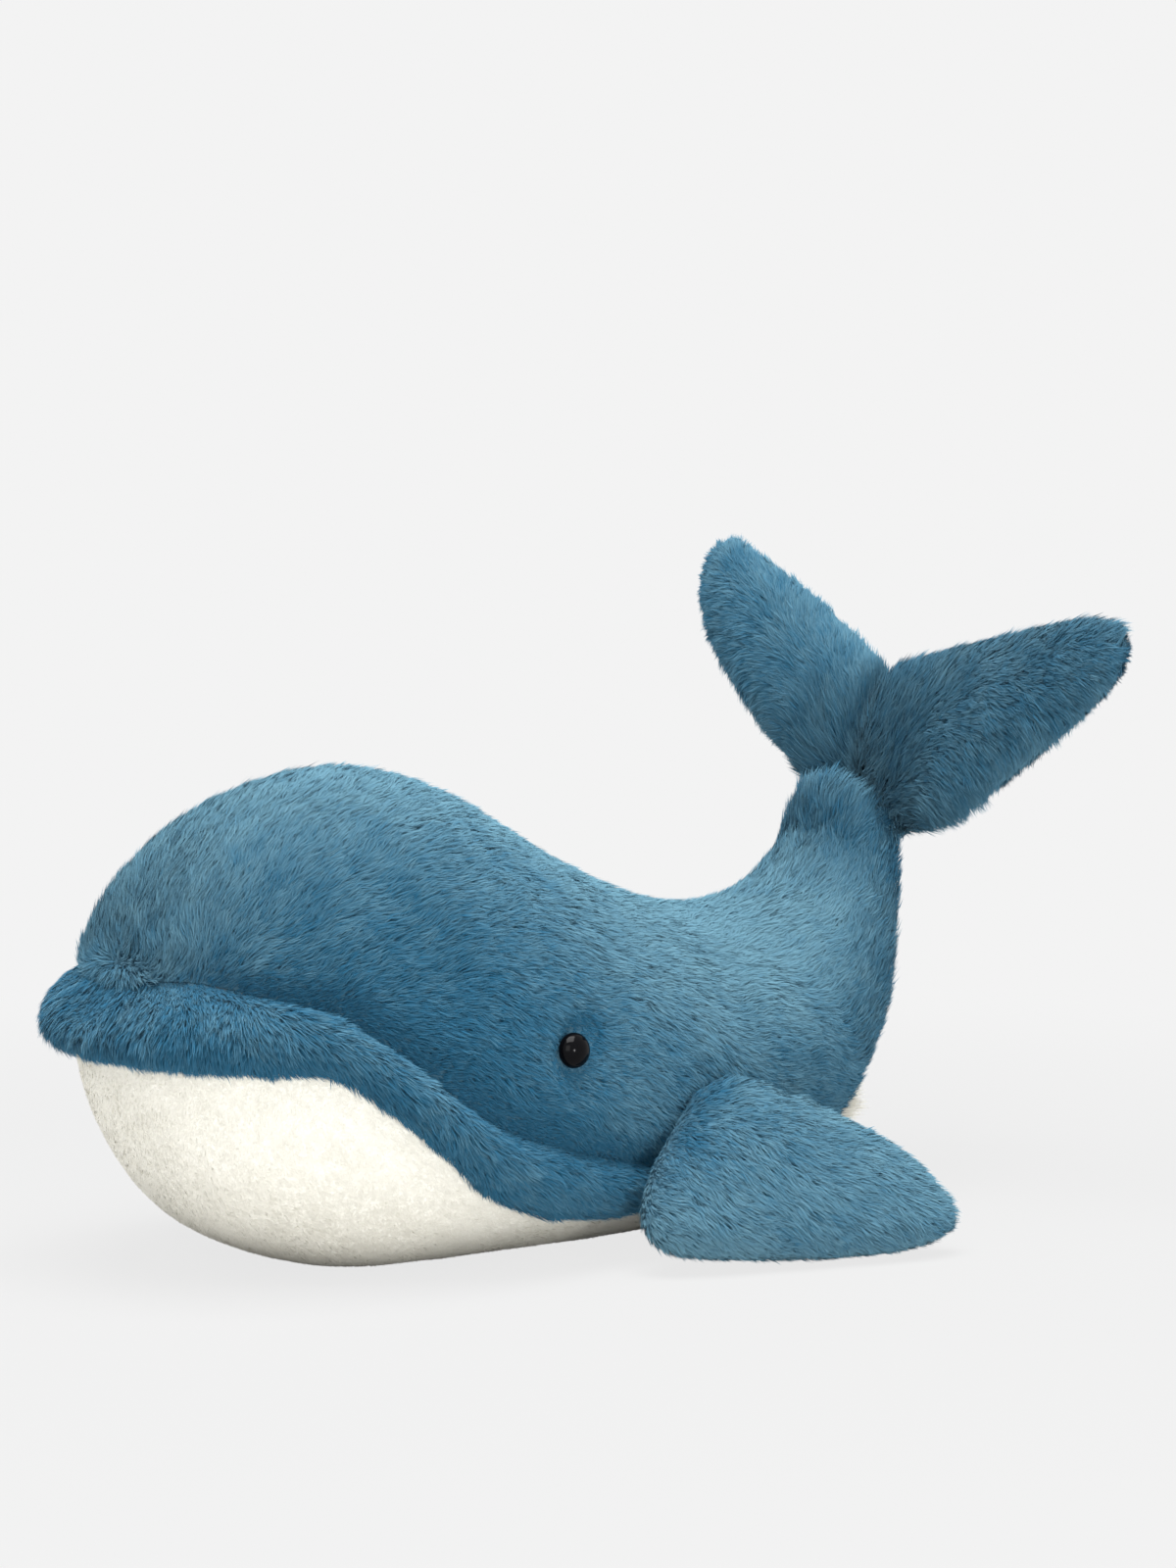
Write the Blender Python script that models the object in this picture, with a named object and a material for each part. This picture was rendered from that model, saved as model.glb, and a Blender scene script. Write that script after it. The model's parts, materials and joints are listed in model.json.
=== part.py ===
"""A plush whale, built as the sewn toy is built: separate fabric panels, stuffing, eyes and pellets.

Metres, +Z up, nose towards -X, the whale's left side towards -Y, floor at Z = 0.
Every soft form is a surface of two parameters, u along the form and v round it, between two rail
lines and a half width. Panels are the skin between that surface and the same surface at a depth.
"""
import math

import bmesh
import bpy
import numpy as np

# Trunk: the head, body and tail stock in one swelling and tapering form
TRUNK_LENGTH = 0.2735
HEAD_HEIGHT = 0.1375
BODY_HALF_WIDTH = 0.0655
FLAT_CUT = 0.0005

# Fabric, seams and stuffing
SKIN = 0.0016
SEAM_GAP = 0.0006
FILLING_GAP = 0.0010

# Padded lip roll
LIP_BULGE = 0.0105

# Eyes
EYE_RADIUS = 0.0050
EYE_HEIGHT = 0.0046
EYE_SEAT_GAP = 0.0004
SHANK_RADIUS = 0.0015
SHANK_LENGTH = 0.0080
SHANK_GAP = 0.00035
WASHER_RADIUS = 0.0060
WASHER_THICKNESS = 0.0014
WASHER_GAP = 0.0012
POCKET_GAP = 0.0012

# Pellet pouch
POUCH_LENGTH = 0.088
POUCH_WIDTH = 0.060
POUCH_HEIGHT = 0.015
POUCH_GAP = 0.0007

# Tail joint: the body ends in a barrel about the joint's axis, and the tail's root is a cup on it
TAIL_GAP = 0.0009
BARREL_BITE = 0.0010
BARREL_SIDE = 0.0030

# How far to the side a sewn-on piece is kept off what it is sewn to
SEAT_REACH = 0.0008

# Flukes
FLUKE_REACH = 0.0840
FLUKE_ROOT = 0.041
FLUKE_HALF_THICKNESS = 0.0090
FLUKE_SEAT_GAP = 0.0003
FLUKE_CENTRE_GAP = 0.0006
FLUKE_LEAN = math.radians(13.0)
FLUKE_ROLL = math.radians(6.0)
FLUKE_TURN = math.radians(3.0)
FLUKE_FOLD = math.radians(35.0)

# Flippers
FLIPPER_LENGTH = 0.0890
FLIPPER_DROP = 0.0505
FLIPPER_HALF_THICKNESS = 0.0085
FLIPPER_SEAT_GAP = 0.0006
FLIPPER_TURN = math.radians(-15.0)
FLIPPER_SPLAY = math.radians(28.0)

# Trunk stations from the nose to the end of the tail stock. Lengths are shares of the trunk's
# length, heights of the head's height and half widths of the body's half width: top line,
# bottom line, half width, level of the widest point, and how full the underside's corners are.
TRUNK_SHARES = np.array([
    (0.000, 0.516, 0.000, 0.516, 0.000, 0.50, 1.00),
    (0.011, 0.640, 0.013, 0.385, 0.305, 0.50, 1.00),
    (0.035, 0.753, 0.042, 0.247, 0.511, 0.49, 0.97),
    (0.075, 0.851, 0.090, 0.127, 0.679, 0.47, 0.92),
    (0.135, 0.931, 0.155, 0.051, 0.817, 0.45, 0.86),
    (0.214, 0.985, 0.232, 0.007, 0.916, 0.43, 0.80),
    (0.302, 1.000, 0.324, 0.000, 0.977, 0.42, 0.77),
    (0.393, 0.942, 0.422, 0.000, 1.000, 0.42, 0.77),
    (0.495, 0.825, 0.525, 0.000, 0.992, 0.43, 0.77),
    (0.605, 0.724, 0.627, 0.002, 0.931, 0.46, 0.80),
    (0.711, 0.665, 0.726, 0.018, 0.832, 0.48, 0.86),
    (0.795, 0.658, 0.821, 0.065, 0.702, 0.50, 0.93),
    (0.857, 0.687, 0.905, 0.163, 0.573, 0.50, 0.98),
    (0.894, 0.735, 0.962, 0.300, 0.458, 0.50, 1.00),
    (0.918, 0.789, 0.996, 0.453, 0.374, 0.50, 1.00),
    (0.927, 0.833, 1.015, 0.591, 0.321, 0.50, 1.00),
    (0.936, 0.869, 1.024, 0.707, 0.282, 0.50, 1.00),
    (0.956, 0.898, 1.026, 0.810, 0.229, 0.50, 1.00),
    (1.000, 0.882, 1.000, 0.882, 0.000, 0.50, 1.00),
])
LAST_STATION = len(TRUNK_SHARES) - 1

# Heights at the same stations, as shares of the head's height, of the crease above the lip roll
# and of the border between the blue and the white fabric. They meet where the lip roll ends.
CREASE_SHARES = np.array([0.625, 0.625, 0.631, 0.607, 0.560, 0.444, 0.316, 0.247, 0.196, 0.145,
                          0.160, 0.204, 0.305, 0.422, 0.560, 0.669, 0.764, 0.800, 0.780])
BORDER_SHARES = np.array([0.476, 0.476, 0.474, 0.467, 0.456, 0.338, 0.188, 0.124, 0.120, 0.145,
                          0.160, 0.204, 0.305, 0.422, 0.560, 0.669, 0.764, 0.800, 0.780])
# How far the lip roll stands out at those stations, as shares of its greatest bulge
BULGE_SHARES = np.array([1.00, 0.90, 0.62, 0.52, 0.50, 0.50, 0.48, 0.44, 0.32, 0.00,
                         0.0, 0.0, 0.0, 0.0, 0.0, 0.0, 0.0, 0.0, 0.0])
LIP_END_STATION = 8.7
BULGE_FULLNESS = 0.6

EYE_STATION = 6.93
EYE_ANGLE = math.radians(83.0)
POUCH_PLACE_SHARE = 0.36
POUCH_FULLNESS_SHARE = 0.55
TAIL_PIVOT_SHARES = (0.835, 0.393)
TAIL_FIRST_STATION = 11.3
TAIL_SEARCH_STATION = 16.0
FLIPPER_STATION = 8.87
FLIPPER_ANGLE = math.radians(88.0)
FLUKE_SEAT_SHARE = 0.02

# Leaf stations from the sewn root to the tip: first rail, second rail, half thickness.
# The rails run along and away from the root. Flukes: shares of the root's length and the reach.
FLUKE_SHARES = np.array([
    (-0.024, 0.000, 1.000, 0.000, 0.88),
    (-0.061, 0.140, 1.146, 0.180, 1.00),
    (0.049, 0.320, 1.293, 0.385, 1.00),
    (0.329, 0.520, 1.427, 0.585, 0.94),
    (0.671, 0.710, 1.549, 0.765, 0.82),
    (0.976, 0.865, 1.600, 0.900, 0.60),
    (1.220, 0.960, 1.560, 0.970, 0.38),
    (1.402, 1.000, 1.402, 1.000, 0.00),
])
# Flippers: shares of the flipper's length and its drop
FLIPPER_SHARES = np.array([
    (-0.169, 0.000, 0.124, 0.000, 0.60),
    (-0.275, 0.248, 0.213, 0.069, 0.78),
    (-0.360, 0.495, 0.315, 0.198, 0.95),
    (-0.399, 0.733, 0.410, 0.307, 1.00),
    (-0.331, 0.891, 0.494, 0.416, 1.00),
    (-0.101, 0.960, 0.562, 0.525, 0.94),
    (0.225, 0.996, 0.612, 0.663, 0.78),
    (0.494, 0.976, 0.646, 0.792, 0.52),
    (0.629, 0.901, 0.629, 0.901, 0.00),
])

# How finely the forms are drawn
REAR_ROWS = 4
SIDE_COLUMNS = 9
BELLY_COLUMNS = 14
BELLY_CROWD = 0.5
LIP_COLUMNS = 5
FILLING_COLUMNS = 20
TAIL_ROWS = 7
TAIL_CROWD = 1.7
END_ROWS = 2
TAIL_COLUMNS = 7
CAP_ROWS = 3
LEAF_ROWS = 7
LEAF_COLUMNS = 6
ROOT_ROWS = 2
CLOSE_SAMPLES = 40
FOLD_SAMPLES = 5
STEP = 1e-4
THINNEST = 1e-4
WELD = 1e-8

# Colours: red, green, blue, then roughness
BLUE_PLUSH = (0.080, 0.185, 0.265, 0.95)
WHITE_PLUSH = (0.800, 0.780, 0.700, 0.95)
STUFFING = (0.850, 0.850, 0.830, 0.95)
BLACK_BEAD = (0.006, 0.006, 0.008, 0.12)
WASHER_PLASTIC = (0.700, 0.700, 0.680, 0.50)
POUCH_CLOTH = (0.600, 0.600, 0.580, 0.85)


def smooth(table, u):
    """A smooth curve (Catmull-Rom) through the rows of a table, at places u from 0 to 1."""
    table = np.asarray(table, float)
    last = len(table) - 1
    ends = np.concatenate([[2 * table[0] - table[1]], table, [2 * table[-1] - table[-2]]])
    s = np.clip(np.asarray(u, float), 0, 1) * last
    i = np.minimum(s.astype(int), last - 1)
    f = s - i
    if table.ndim > 1:
        f = f[..., None]
    a, b, c, d = ends[i], ends[i + 1], ends[i + 2], ends[i + 3]
    return b + 0.5 * f * ((c - a) + f * ((2 * a - 5 * b + 4 * c - d) + f * (3 * b - a - 3 * c + d)))


def unit(vectors):
    return vectors / np.maximum(np.linalg.norm(vectors, axis=-1, keepdims=True), 1e-12)


def rails(table, u, depth, closed_start, closed_end):
    """The two rail points and the half width at u, all moved inwards by a depth.

    table(u) gives both rails and the half width. A closed end is a pole with no width.
    """
    here = table(u)
    change = table(np.clip(u + STEP, 0, 1)) - table(np.clip(u - STEP, 0, 1))
    first, second, half = here[..., 0:2], here[..., 2:4], here[..., 4]
    along_first, along_second = unit(change[..., 0:2]), unit(change[..., 2:4])
    in_first = np.stack([along_first[..., 1], -along_first[..., 0]], -1)
    in_second = np.stack([-along_second[..., 1], along_second[..., 0]], -1)
    run = np.linalg.norm(change[..., 0:2] + change[..., 2:4], axis=-1) / 2
    slope = run / np.maximum(np.hypot(run, change[..., 4]), 1e-12)
    half = half - depth * slope
    if closed_start:
        half = np.where(u <= 0, 0.0, half)
    if closed_end:
        half = np.where(u >= 1, 0.0, half)
    return first + depth * in_first, second + depth * in_second, half


def trunk_table(u):
    shares = smooth(TRUNK_SHARES, u)
    sizes = np.array([TRUNK_LENGTH, HEAD_HEIGHT, TRUNK_LENGTH, HEAD_HEIGHT, BODY_HALF_WIDTH, 1, 1])
    table = shares * sizes
    table[..., 3] -= FLAT_CUT
    return table


def trunk_ring(u, depth=0.0):
    """Top point, middle point, bottom point, half width and corner fullness of a ring."""
    top, bottom, half = rails(trunk_table, u, depth, True, True)
    shares = smooth(TRUNK_SHARES, u)
    middle = bottom + shares[..., 5:6] * (top - bottom)
    return top, middle, bottom, half, shares[..., 6]


def trunk(u, v, depth=0.0, side_gap=0.0):
    """The trunk's surface. v is 0 along the back, a right angle on the left side, pi along the belly.

    The upper half of a ring is half an ellipse. The lower half has fuller corners, and the floor
    cuts it flat.
    """
    u, v = np.broadcast_arrays(np.asarray(u, float), np.asarray(v, float))
    top, middle, bottom, half, corner = trunk_ring(u, depth)
    c, s = np.cos(v), np.sin(v)
    low = c < 0
    power = np.where(low, corner, 1.0)
    rise = np.abs(c) ** power
    reach = np.abs(s) ** power * np.sign(s)
    arm = np.where(low[..., None], bottom - middle, top - middle)
    point = middle + arm * rise[..., None]
    y = -half * reach - side_gap * np.where(s >= 0, 1.0, -1.0)
    z = np.maximum(point[..., 1], max(depth, 0.0))
    return np.stack([point[..., 0], y, z], -1)


def trunk_normal(u, v):
    """The way out of the trunk's surface on its left side."""
    u = np.clip(np.asarray(u, float), 5 * STEP, 1 - 5 * STEP)
    v = np.clip(np.asarray(v, float), 5 * STEP, math.pi - 5 * STEP)
    along = trunk(u + STEP, v) - trunk(u - STEP, v)
    around = trunk(u, v + STEP) - trunk(u, v - STEP)
    return unit(np.cross(around, along))


def angle_at_height(u, height):
    """The angle v at which a ring of the left side has a height."""
    top, middle, bottom, half, corner = trunk_ring(np.asarray(u, float))
    up = np.clip((height - middle[..., 1]) / np.maximum(top[..., 1] - middle[..., 1], THINNEST), 0, 1)
    down = np.clip((middle[..., 1] - height) / np.maximum(middle[..., 1] - bottom[..., 1], THINNEST), 0, 1)
    return np.where(height >= middle[..., 1], np.arccos(up), math.pi - np.arccos(down ** (1 / corner)))


def crease_height(u):
    return smooth(CREASE_SHARES, u) * HEAD_HEIGHT


def border_height(u):
    return smooth(BORDER_SHARES, u) * HEAD_HEIGHT


def crease_angle(u):
    return angle_at_height(u, crease_height(u))


def border_angle(u):
    return np.maximum(angle_at_height(u, border_height(u)), crease_angle(u))


def gap_angle(u, v):
    """Half a seam's gap, as an angle at a place on the trunk."""
    v = np.clip(v, STEP, math.pi - STEP)
    speed = np.linalg.norm(trunk(u, v + STEP) - trunk(u, v - STEP), axis=-1) / (2 * STEP)
    return SEAM_GAP / 2 / np.maximum(speed, SEAM_GAP)


def first_place(test, low, high):
    """The place between low and high where a test turns true, by halving."""
    for _ in range(CLOSE_SAMPLES):
        middle = (low + high) / 2
        if test(middle):
            high = middle
        else:
            low = middle
    return high


def notch_place():
    """Where the crease crosses the back line, above the nose."""
    return first_place(lambda u: trunk_ring(np.array(u))[0][1] > crease_height(u), 0.0, 2 / LAST_STATION)


def chin_place():
    """Where the blue border crosses the belly line, below the nose."""
    return first_place(lambda u: trunk_ring(np.array(u))[2][1] < border_height(u), 0.0, 2 / LAST_STATION)


def tail_pivot():
    return np.array([TAIL_PIVOT_SHARES[0] * TRUNK_LENGTH, 0.0, TAIL_PIVOT_SHARES[1] * HEAD_HEIGHT])


def barrel_sizes():
    """Radius of the tail joint's barrel at its middle, and its half width along the axis."""
    pivot = tail_pivot()
    u = np.linspace(TAIL_FIRST_STATION - 1, TAIL_FIRST_STATION + 2, CLOSE_SAMPLES) / LAST_STATION
    top = trunk_ring(u)[0]
    radius = np.hypot(top[:, 0] - pivot[0], top[:, 1] - pivot[2]).min() + BARREL_BITE
    half = trunk_ring(np.array(TAIL_FIRST_STATION / LAST_STATION))[3] + BARREL_SIDE
    return radius, half


def outside_barrel(points, inset):
    """Above zero outside the barrel made smaller by an inset."""
    pivot = tail_pivot()
    radius, half = barrel_sizes()
    turn = np.hypot(points[..., 0] - pivot[0], points[..., 2] - pivot[2]) / (radius - inset)
    return turn ** 2 + (points[..., 1] / (half - inset)) ** 2 - 1


def barrel_exit(v, depth, inset, side_gap=0.0):
    """The place u where the trunk's surface at a depth leaves the barrel, for each angle v."""
    u = np.linspace(TAIL_FIRST_STATION, TAIL_SEARCH_STATION, 4 * CLOSE_SAMPLES) / LAST_STATION
    grid_u, grid_v = np.meshgrid(u, v, indexing="ij")
    inside = outside_barrel(trunk(grid_u, grid_v, depth, side_gap), inset) < 0
    last = len(u) - 1 - np.argmax(inside[::-1], axis=0)
    last = np.clip(last, 0, len(u) - 2)
    low, high = u[last], u[last + 1]
    for _ in range(CLOSE_SAMPLES):
        middle = (low + high) / 2
        within = outside_barrel(trunk(middle, v, depth, side_gap), inset) < 0
        low, high = np.where(within, middle, low), np.where(within, high, middle)
    return (low + high) / 2


def barrel_cap(edge, inset, rows):
    """Rows on the barrel that close a ring lying on it, from its pole out to the ring."""
    pivot = tail_pivot()
    radius, half = barrel_sizes()
    radius, half = radius - inset, half - inset
    angle = np.unwrap(np.arctan2(edge[:, 2] - pivot[2], edge[:, 0] - pivot[0]))
    centre = (angle.max() + angle.min()) / 2
    cap = []
    for share in np.linspace(0, 1, rows + 1)[:-1]:
        y = edge[:, 1] * share
        turn = centre + (angle - centre) * share
        r = radius * np.sqrt(1 - (y / half) ** 2)
        cap.append(np.stack([pivot[0] + r * np.cos(turn), y, pivot[2] + r * np.sin(turn)], -1))
    return np.array(cap)


def body_places():
    """The rows shared by every panel of the body: nose, chin, notch, then on to the barrel."""
    notch, chin = notch_place(), chin_place()
    front = [0.0, chin, (chin + notch) / 2, notch]
    gaps = [0.35, 0.9, 1.6, 2.4, 3.2, 4.0, 4.6, 5.2, 5.9, 6.7, 7.6]
    middle = [u for u in np.array(gaps) / LAST_STATION + notch if u < LIP_END_STATION / LAST_STATION]
    return np.array(front + middle + [LIP_END_STATION / LAST_STATION])


def spread(count, crowd):
    """Places from 0 to 1, evenly spread, or with a crowd up to 1 closer together at both ends."""
    even = np.linspace(0, 1, count + 1)
    return (1 - crowd) * even + crowd * (1 - np.cos(math.pi * even)) / 2


def patch(edges, places, columns, depth, side_gap, cut, bulge=None, crowd=0.0):
    """A grid of points of a panel. edges(u) gives its two edge angles, cut its rear limit."""
    share = spread(columns, crowd)
    low, high = edges(places)
    v = low[:, None] + (high - low)[:, None] * share
    u = np.repeat(places[:, None], columns + 1, axis=1)
    if cut is not None:
        low_end, high_end = edges(np.array([cut]))
        guess = low_end + (high_end - low_end) * share
        for _ in range(CLOSE_SAMPLES // 4):
            end = barrel_exit(guess, depth, TAIL_GAP, side_gap)
            low_end, high_end = edges(end)
            guess = low_end + (high_end - low_end) * share
        for step in np.arange(1, REAR_ROWS + 1) / REAR_ROWS:
            row_u = places[-1] + (end - places[-1]) * step
            low_row, high_row = edges(row_u)
            u = np.vstack([u, row_u])
            v = np.vstack([v, low_row + (high_row - low_row) * share])
    points = trunk(u, v, depth, side_gap)
    if bulge is not None:
        points = points + bulge(u, v)[..., None] * trunk_normal(u, v)
    return points


def lip_bulge(u, v):
    """How far the lip roll stands out: a rounded roll between the border and the crease."""
    height = trunk(u, v)[..., 2]
    top, low = crease_height(u), border_height(u)
    across = np.clip((top - height) / np.maximum(top - low, SEAM_GAP), 0, 1)
    size = np.maximum(smooth(BULGE_SHARES, u), 0) * LIP_BULGE
    return size * np.sin(math.pi * across) ** BULGE_FULLNESS


def welded(points, faces):
    """The same surface with points that lie together made one, and flat faces left out."""
    keys = [tuple(key) for key in np.round(points / WELD).astype(int)]
    number = {key: i for i, key in enumerate(dict.fromkeys(keys))}
    kept = np.zeros((len(number), 3))
    for key, point in zip(keys, points):
        kept[number[key]] = point
    joined = [tuple(dict.fromkeys(number[keys[i]] for i in face)) for face in faces]
    return kept, [face for face in joined if len(face) > 2]


def shell(outer, inner):
    """Points and faces of the closed skin between two grids of the same shape."""
    rows, columns = outer.shape[:2]
    top = np.arange(rows * columns).reshape(rows, columns)
    back = top + rows * columns
    quads = []
    for i in range(rows - 1):
        for j in range(columns - 1):
            quads.append((top[i, j], top[i, j + 1], top[i + 1, j + 1], top[i + 1, j]))
            quads.append((back[i, j], back[i + 1, j], back[i + 1, j + 1], back[i, j + 1]))
        quads.append((top[i, 0], top[i + 1, 0], back[i + 1, 0], back[i, 0]))
        quads.append((top[i, -1], back[i, -1], back[i + 1, -1], top[i + 1, -1]))
    for j in range(columns - 1):
        quads.append((top[0, j], back[0, j], back[0, j + 1], top[0, j + 1]))
        quads.append((top[-1, j], top[-1, j + 1], back[-1, j + 1], back[-1, j]))
    return welded(np.concatenate([outer.reshape(-1, 3), inner.reshape(-1, 3)]), quads)


def closed_form(rings):
    """Points and faces of a closed surface of rings, whose first and last rings are poles or folds."""
    count, around = rings.shape[:2]
    faces = []
    for i in range(count - 1):
        for j in range(around):
            a, b, k = i * around, (i + 1) * around, (j + 1) % around
            faces.append((a + j, a + k, b + k, b + j))
    return welded(rings.reshape(-1, 3), faces)


def needed_shift(moving, fixed, way, reach, gap):
    """How far moving points go along a way to clear fixed points by a gap, seen along that way."""
    way = np.asarray(way, float)
    flat_moving = moving - (moving @ way)[:, None] * way
    flat_fixed = fixed - (fixed @ way)[:, None] * way
    near = np.linalg.norm(flat_moving[:, None] - flat_fixed[None], axis=-1) < reach
    need = (fixed @ way)[None] + gap - (moving @ way)[:, None]
    return need[near].max()


def leaf_table(shares, along, away, thick):
    sizes = np.array([along, away, along, away, thick])
    return lambda u: smooth(shares, u) * sizes


def leaf(table, u, v, depth):
    """A leaf's surface: along the root, away from it, and out of its face. v is 0 to pi on the face."""
    first, second, half = rails(table, u, depth, False, True)
    root = u <= 0
    start = table(np.zeros(1))[0]
    first = np.where(root[..., None], start[0:2] + np.array([depth, 0]), first)
    second = np.where(root[..., None], start[2:4] - np.array([depth, 0]), second)
    half = np.where(root, start[4] - depth, half)
    middle = (first + second) / 2
    flat = middle + (first - second) / 2 * np.cos(v)[..., None]
    return np.concatenate([flat, (half * np.sin(v))[..., None]], -1)


def leaf_grid(table, angles, depth, sign, side_gap):
    """Rows of a leaf from its rounded root edge, turned about the root line, out to the tip."""
    rows = []
    root = leaf(table, np.zeros_like(angles), angles, depth)
    for turn in np.linspace(math.pi / 2, 0, ROOT_ROWS + 1)[:-1]:
        row = root.copy()
        row[:, 1] = root[:, 1] - np.abs(root[:, 2]) * math.sin(turn)
        row[:, 2] = root[:, 2] * math.cos(turn)
        rows.append(row)
    for u in 1 - (1 - np.linspace(0, 1, LEAF_ROWS + 1)) ** 1.15:
        rows.append(leaf(table, np.full_like(angles, u), angles, depth))
    rows = np.array(rows)
    rows[..., 2] = sign * rows[..., 2] + sign * side_gap
    return rows


class Leaf:
    """One stuffed leaf: a fluke or a flipper, with its root line at a hinge."""

    def __init__(self, table, mirror_away):
        self.table = table
        self.mirror_away = mirror_away

    def place(self, grid, frame):
        """Leaf coordinates to the object's: frame is origin, along, away and face directions."""
        origin, along, away, face = frame
        away = -away if self.mirror_away else away
        return origin + grid[..., 0:1] * along + grid[..., 1:2] * away + grid[..., 2:3] * face

    def panel(self, sign, frame):
        angles = np.linspace(0, math.pi, LEAF_COLUMNS + 1)
        outer = leaf_grid(self.table, angles, 0.0, sign, SEAM_GAP / 2)
        inner = leaf_grid(self.table, angles, SKIN, sign, SEAM_GAP / 2)
        return shell(self.place(outer, frame), self.place(inner, frame))

    def filling(self, frame):
        depth = SKIN + FILLING_GAP
        half_turn = np.linspace(0, math.pi, LEAF_COLUMNS + 1)
        front = leaf_grid(self.table, half_turn, depth, 1.0, 0.0)
        back = leaf_grid(self.table, half_turn, depth, -1.0, 0.0)[:, ::-1]
        rings = np.concatenate([front, back[:, 1:-1]], axis=1)
        return closed_form(self.place(rings, frame))


def fluke_frame():
    """The flukes' plane on top of the tail stock: its foot, up, across to the right, and its front."""
    lean, roll, turn = FLUKE_LEAN, FLUKE_ROLL, FLUKE_TURN
    up = np.array([math.sin(lean), 0.0, math.cos(lean)])
    across = np.array([0.0, 1.0, 0.0])
    rolled_up = up * math.cos(roll) - across * math.sin(roll)
    rolled_across = across * math.cos(roll) + up * math.sin(roll)
    spin = np.array([[math.cos(turn), -math.sin(turn), 0], [math.sin(turn), math.cos(turn), 0], [0, 0, 1]])
    up, across = spin @ rolled_up, spin @ rolled_across
    front = np.cross(up, across)
    front = front if front[0] < 0 else -front
    foot = trunk(1.0, 0.0) + up * FLUKE_SEAT_SHARE * FLUKE_ROOT
    return foot, up, across, front


def fluke_frames():
    """The hinge frame of each fluke, seated on the end of the tail stock."""
    table = leaf_table(FLUKE_SHARES, FLUKE_ROOT, FLUKE_REACH, FLUKE_HALF_THICKNESS)
    foot, up, across, front = fluke_frame()
    stand = table(np.zeros(1))[0, 4] + FLUKE_CENTRE_GAP / 2
    angles = np.linspace(0, math.pi, CLOSE_SAMPLES)
    faces = [leaf_grid(table, angles, 0.0, face, SEAM_GAP / 2).reshape(-1, 3) for face in (-1.0, 1.0)]
    along, away, out = np.concatenate(faces).T[..., None]
    u, v = np.meshgrid(np.linspace(0.85, 1, CLOSE_SAMPLES), np.linspace(0, 2 * math.pi, 2 * CLOSE_SAMPLES))
    stock = trunk(u, v).reshape(-1, 3) - foot
    frames = {}
    for hand, side in (("left", -across), ("right", across)):
        swept = []
        for fold in np.linspace(-FLUKE_FOLD, FLUKE_FOLD, FOLD_SAMPLES):
            reach = away * math.cos(fold) - out * math.sin(fold) + stand
            turn = away * math.sin(fold) + out * math.cos(fold)
            swept.append(along * up + reach * side + turn * front)
        rise = needed_shift(np.concatenate(swept), stock, up, SEAT_REACH, FLUKE_SEAT_GAP)
        frames[hand] = (foot + up * rise + side * stand, up, across, front)
    return frames


def flipper_frame():
    """The left flipper's hinge frame, standing just off the body's side."""
    table = leaf_table(FLIPPER_SHARES, FLIPPER_LENGTH, FLIPPER_DROP, FLIPPER_HALF_THICKNESS)
    along = np.array([math.cos(FLIPPER_TURN), math.sin(FLIPPER_TURN), 0.0])
    outward = np.array([math.sin(FLIPPER_TURN), -math.cos(FLIPPER_TURN), 0.0])
    away = outward * math.sin(FLIPPER_SPLAY) - np.array([0, 0, math.cos(FLIPPER_SPLAY)])
    face = np.cross(along, away)
    face = face if face[2] > 0 else -face
    origin = trunk(FLIPPER_STATION / LAST_STATION, FLIPPER_ANGLE)
    angles = np.linspace(0, math.pi, CLOSE_SAMPLES)
    root = leaf(table, np.zeros_like(angles), angles, -SEAM_GAP / 2)
    ring = []
    for turn in np.linspace(0, 2 * math.pi, CLOSE_SAMPLES):
        out = np.abs(root[:, 2])
        ring.append(root[:, 0:1] * along + (out * math.cos(turn))[:, None] * away + (out * math.sin(turn))[:, None] * face)
    low, high = (FLIPPER_STATION - 2) / LAST_STATION, (FLIPPER_STATION + 2) / LAST_STATION
    u, v = np.meshgrid(np.linspace(low, high, 2 * CLOSE_SAMPLES), np.linspace(0.6, 2.4, 2 * CLOSE_SAMPLES))
    body = trunk(u, v).reshape(-1, 3) - origin
    side = np.array([0.0, -1.0, 0.0])
    shift = needed_shift(np.concatenate(ring), body, side, SEAT_REACH, FLIPPER_SEAT_GAP)
    return origin + side * shift, along, away, face


def turned(profile, origin, way, around):
    """Points and faces of a profile of (radius, place along the axis), turned about an axis."""
    way = unit(np.asarray(way, float))
    side = unit(np.cross(way, [0.0, 0.0, 1.0]))
    other = np.cross(way, side)
    angle = np.linspace(0, 2 * math.pi, around, endpoint=False)
    circle = np.cos(angle)[:, None] * side + np.sin(angle)[:, None] * other
    return np.array([origin + circle * r + way * h for r, h in profile])


def surface_material(name, colour):
    material = bpy.data.materials.new(name)
    material.use_nodes = True
    shader = material.node_tree.nodes["Principled BSDF"]
    shader.inputs["Base Color"].default_value = (*colour[:3], 1.0)
    shader.inputs["Roughness"].default_value = colour[3]
    shader.inputs["Metallic"].default_value = 0.0
    return material


def mesh_object(name, points, faces, colour, parent, pivot):
    """A named object whose mesh is placed from its parent's pivot, closed and facing outwards."""
    mesh = bpy.data.meshes.new(name)
    mesh.from_pydata([tuple(p) for p in points - pivot], [], [tuple(int(i) for i in f) for f in faces])
    work = bmesh.new()
    work.from_mesh(mesh)
    bmesh.ops.recalc_face_normals(work, faces=work.faces)
    if work.calc_volume(signed=True) < 0:
        bmesh.ops.reverse_faces(work, faces=work.faces)
    work.to_mesh(mesh)
    work.free()
    mesh.materials.append(surface_material(name, colour))
    mesh.shade_smooth()
    item = bpy.data.objects.new(name, mesh)
    bpy.context.collection.objects.link(item)
    item.parent = parent
    return item


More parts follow.
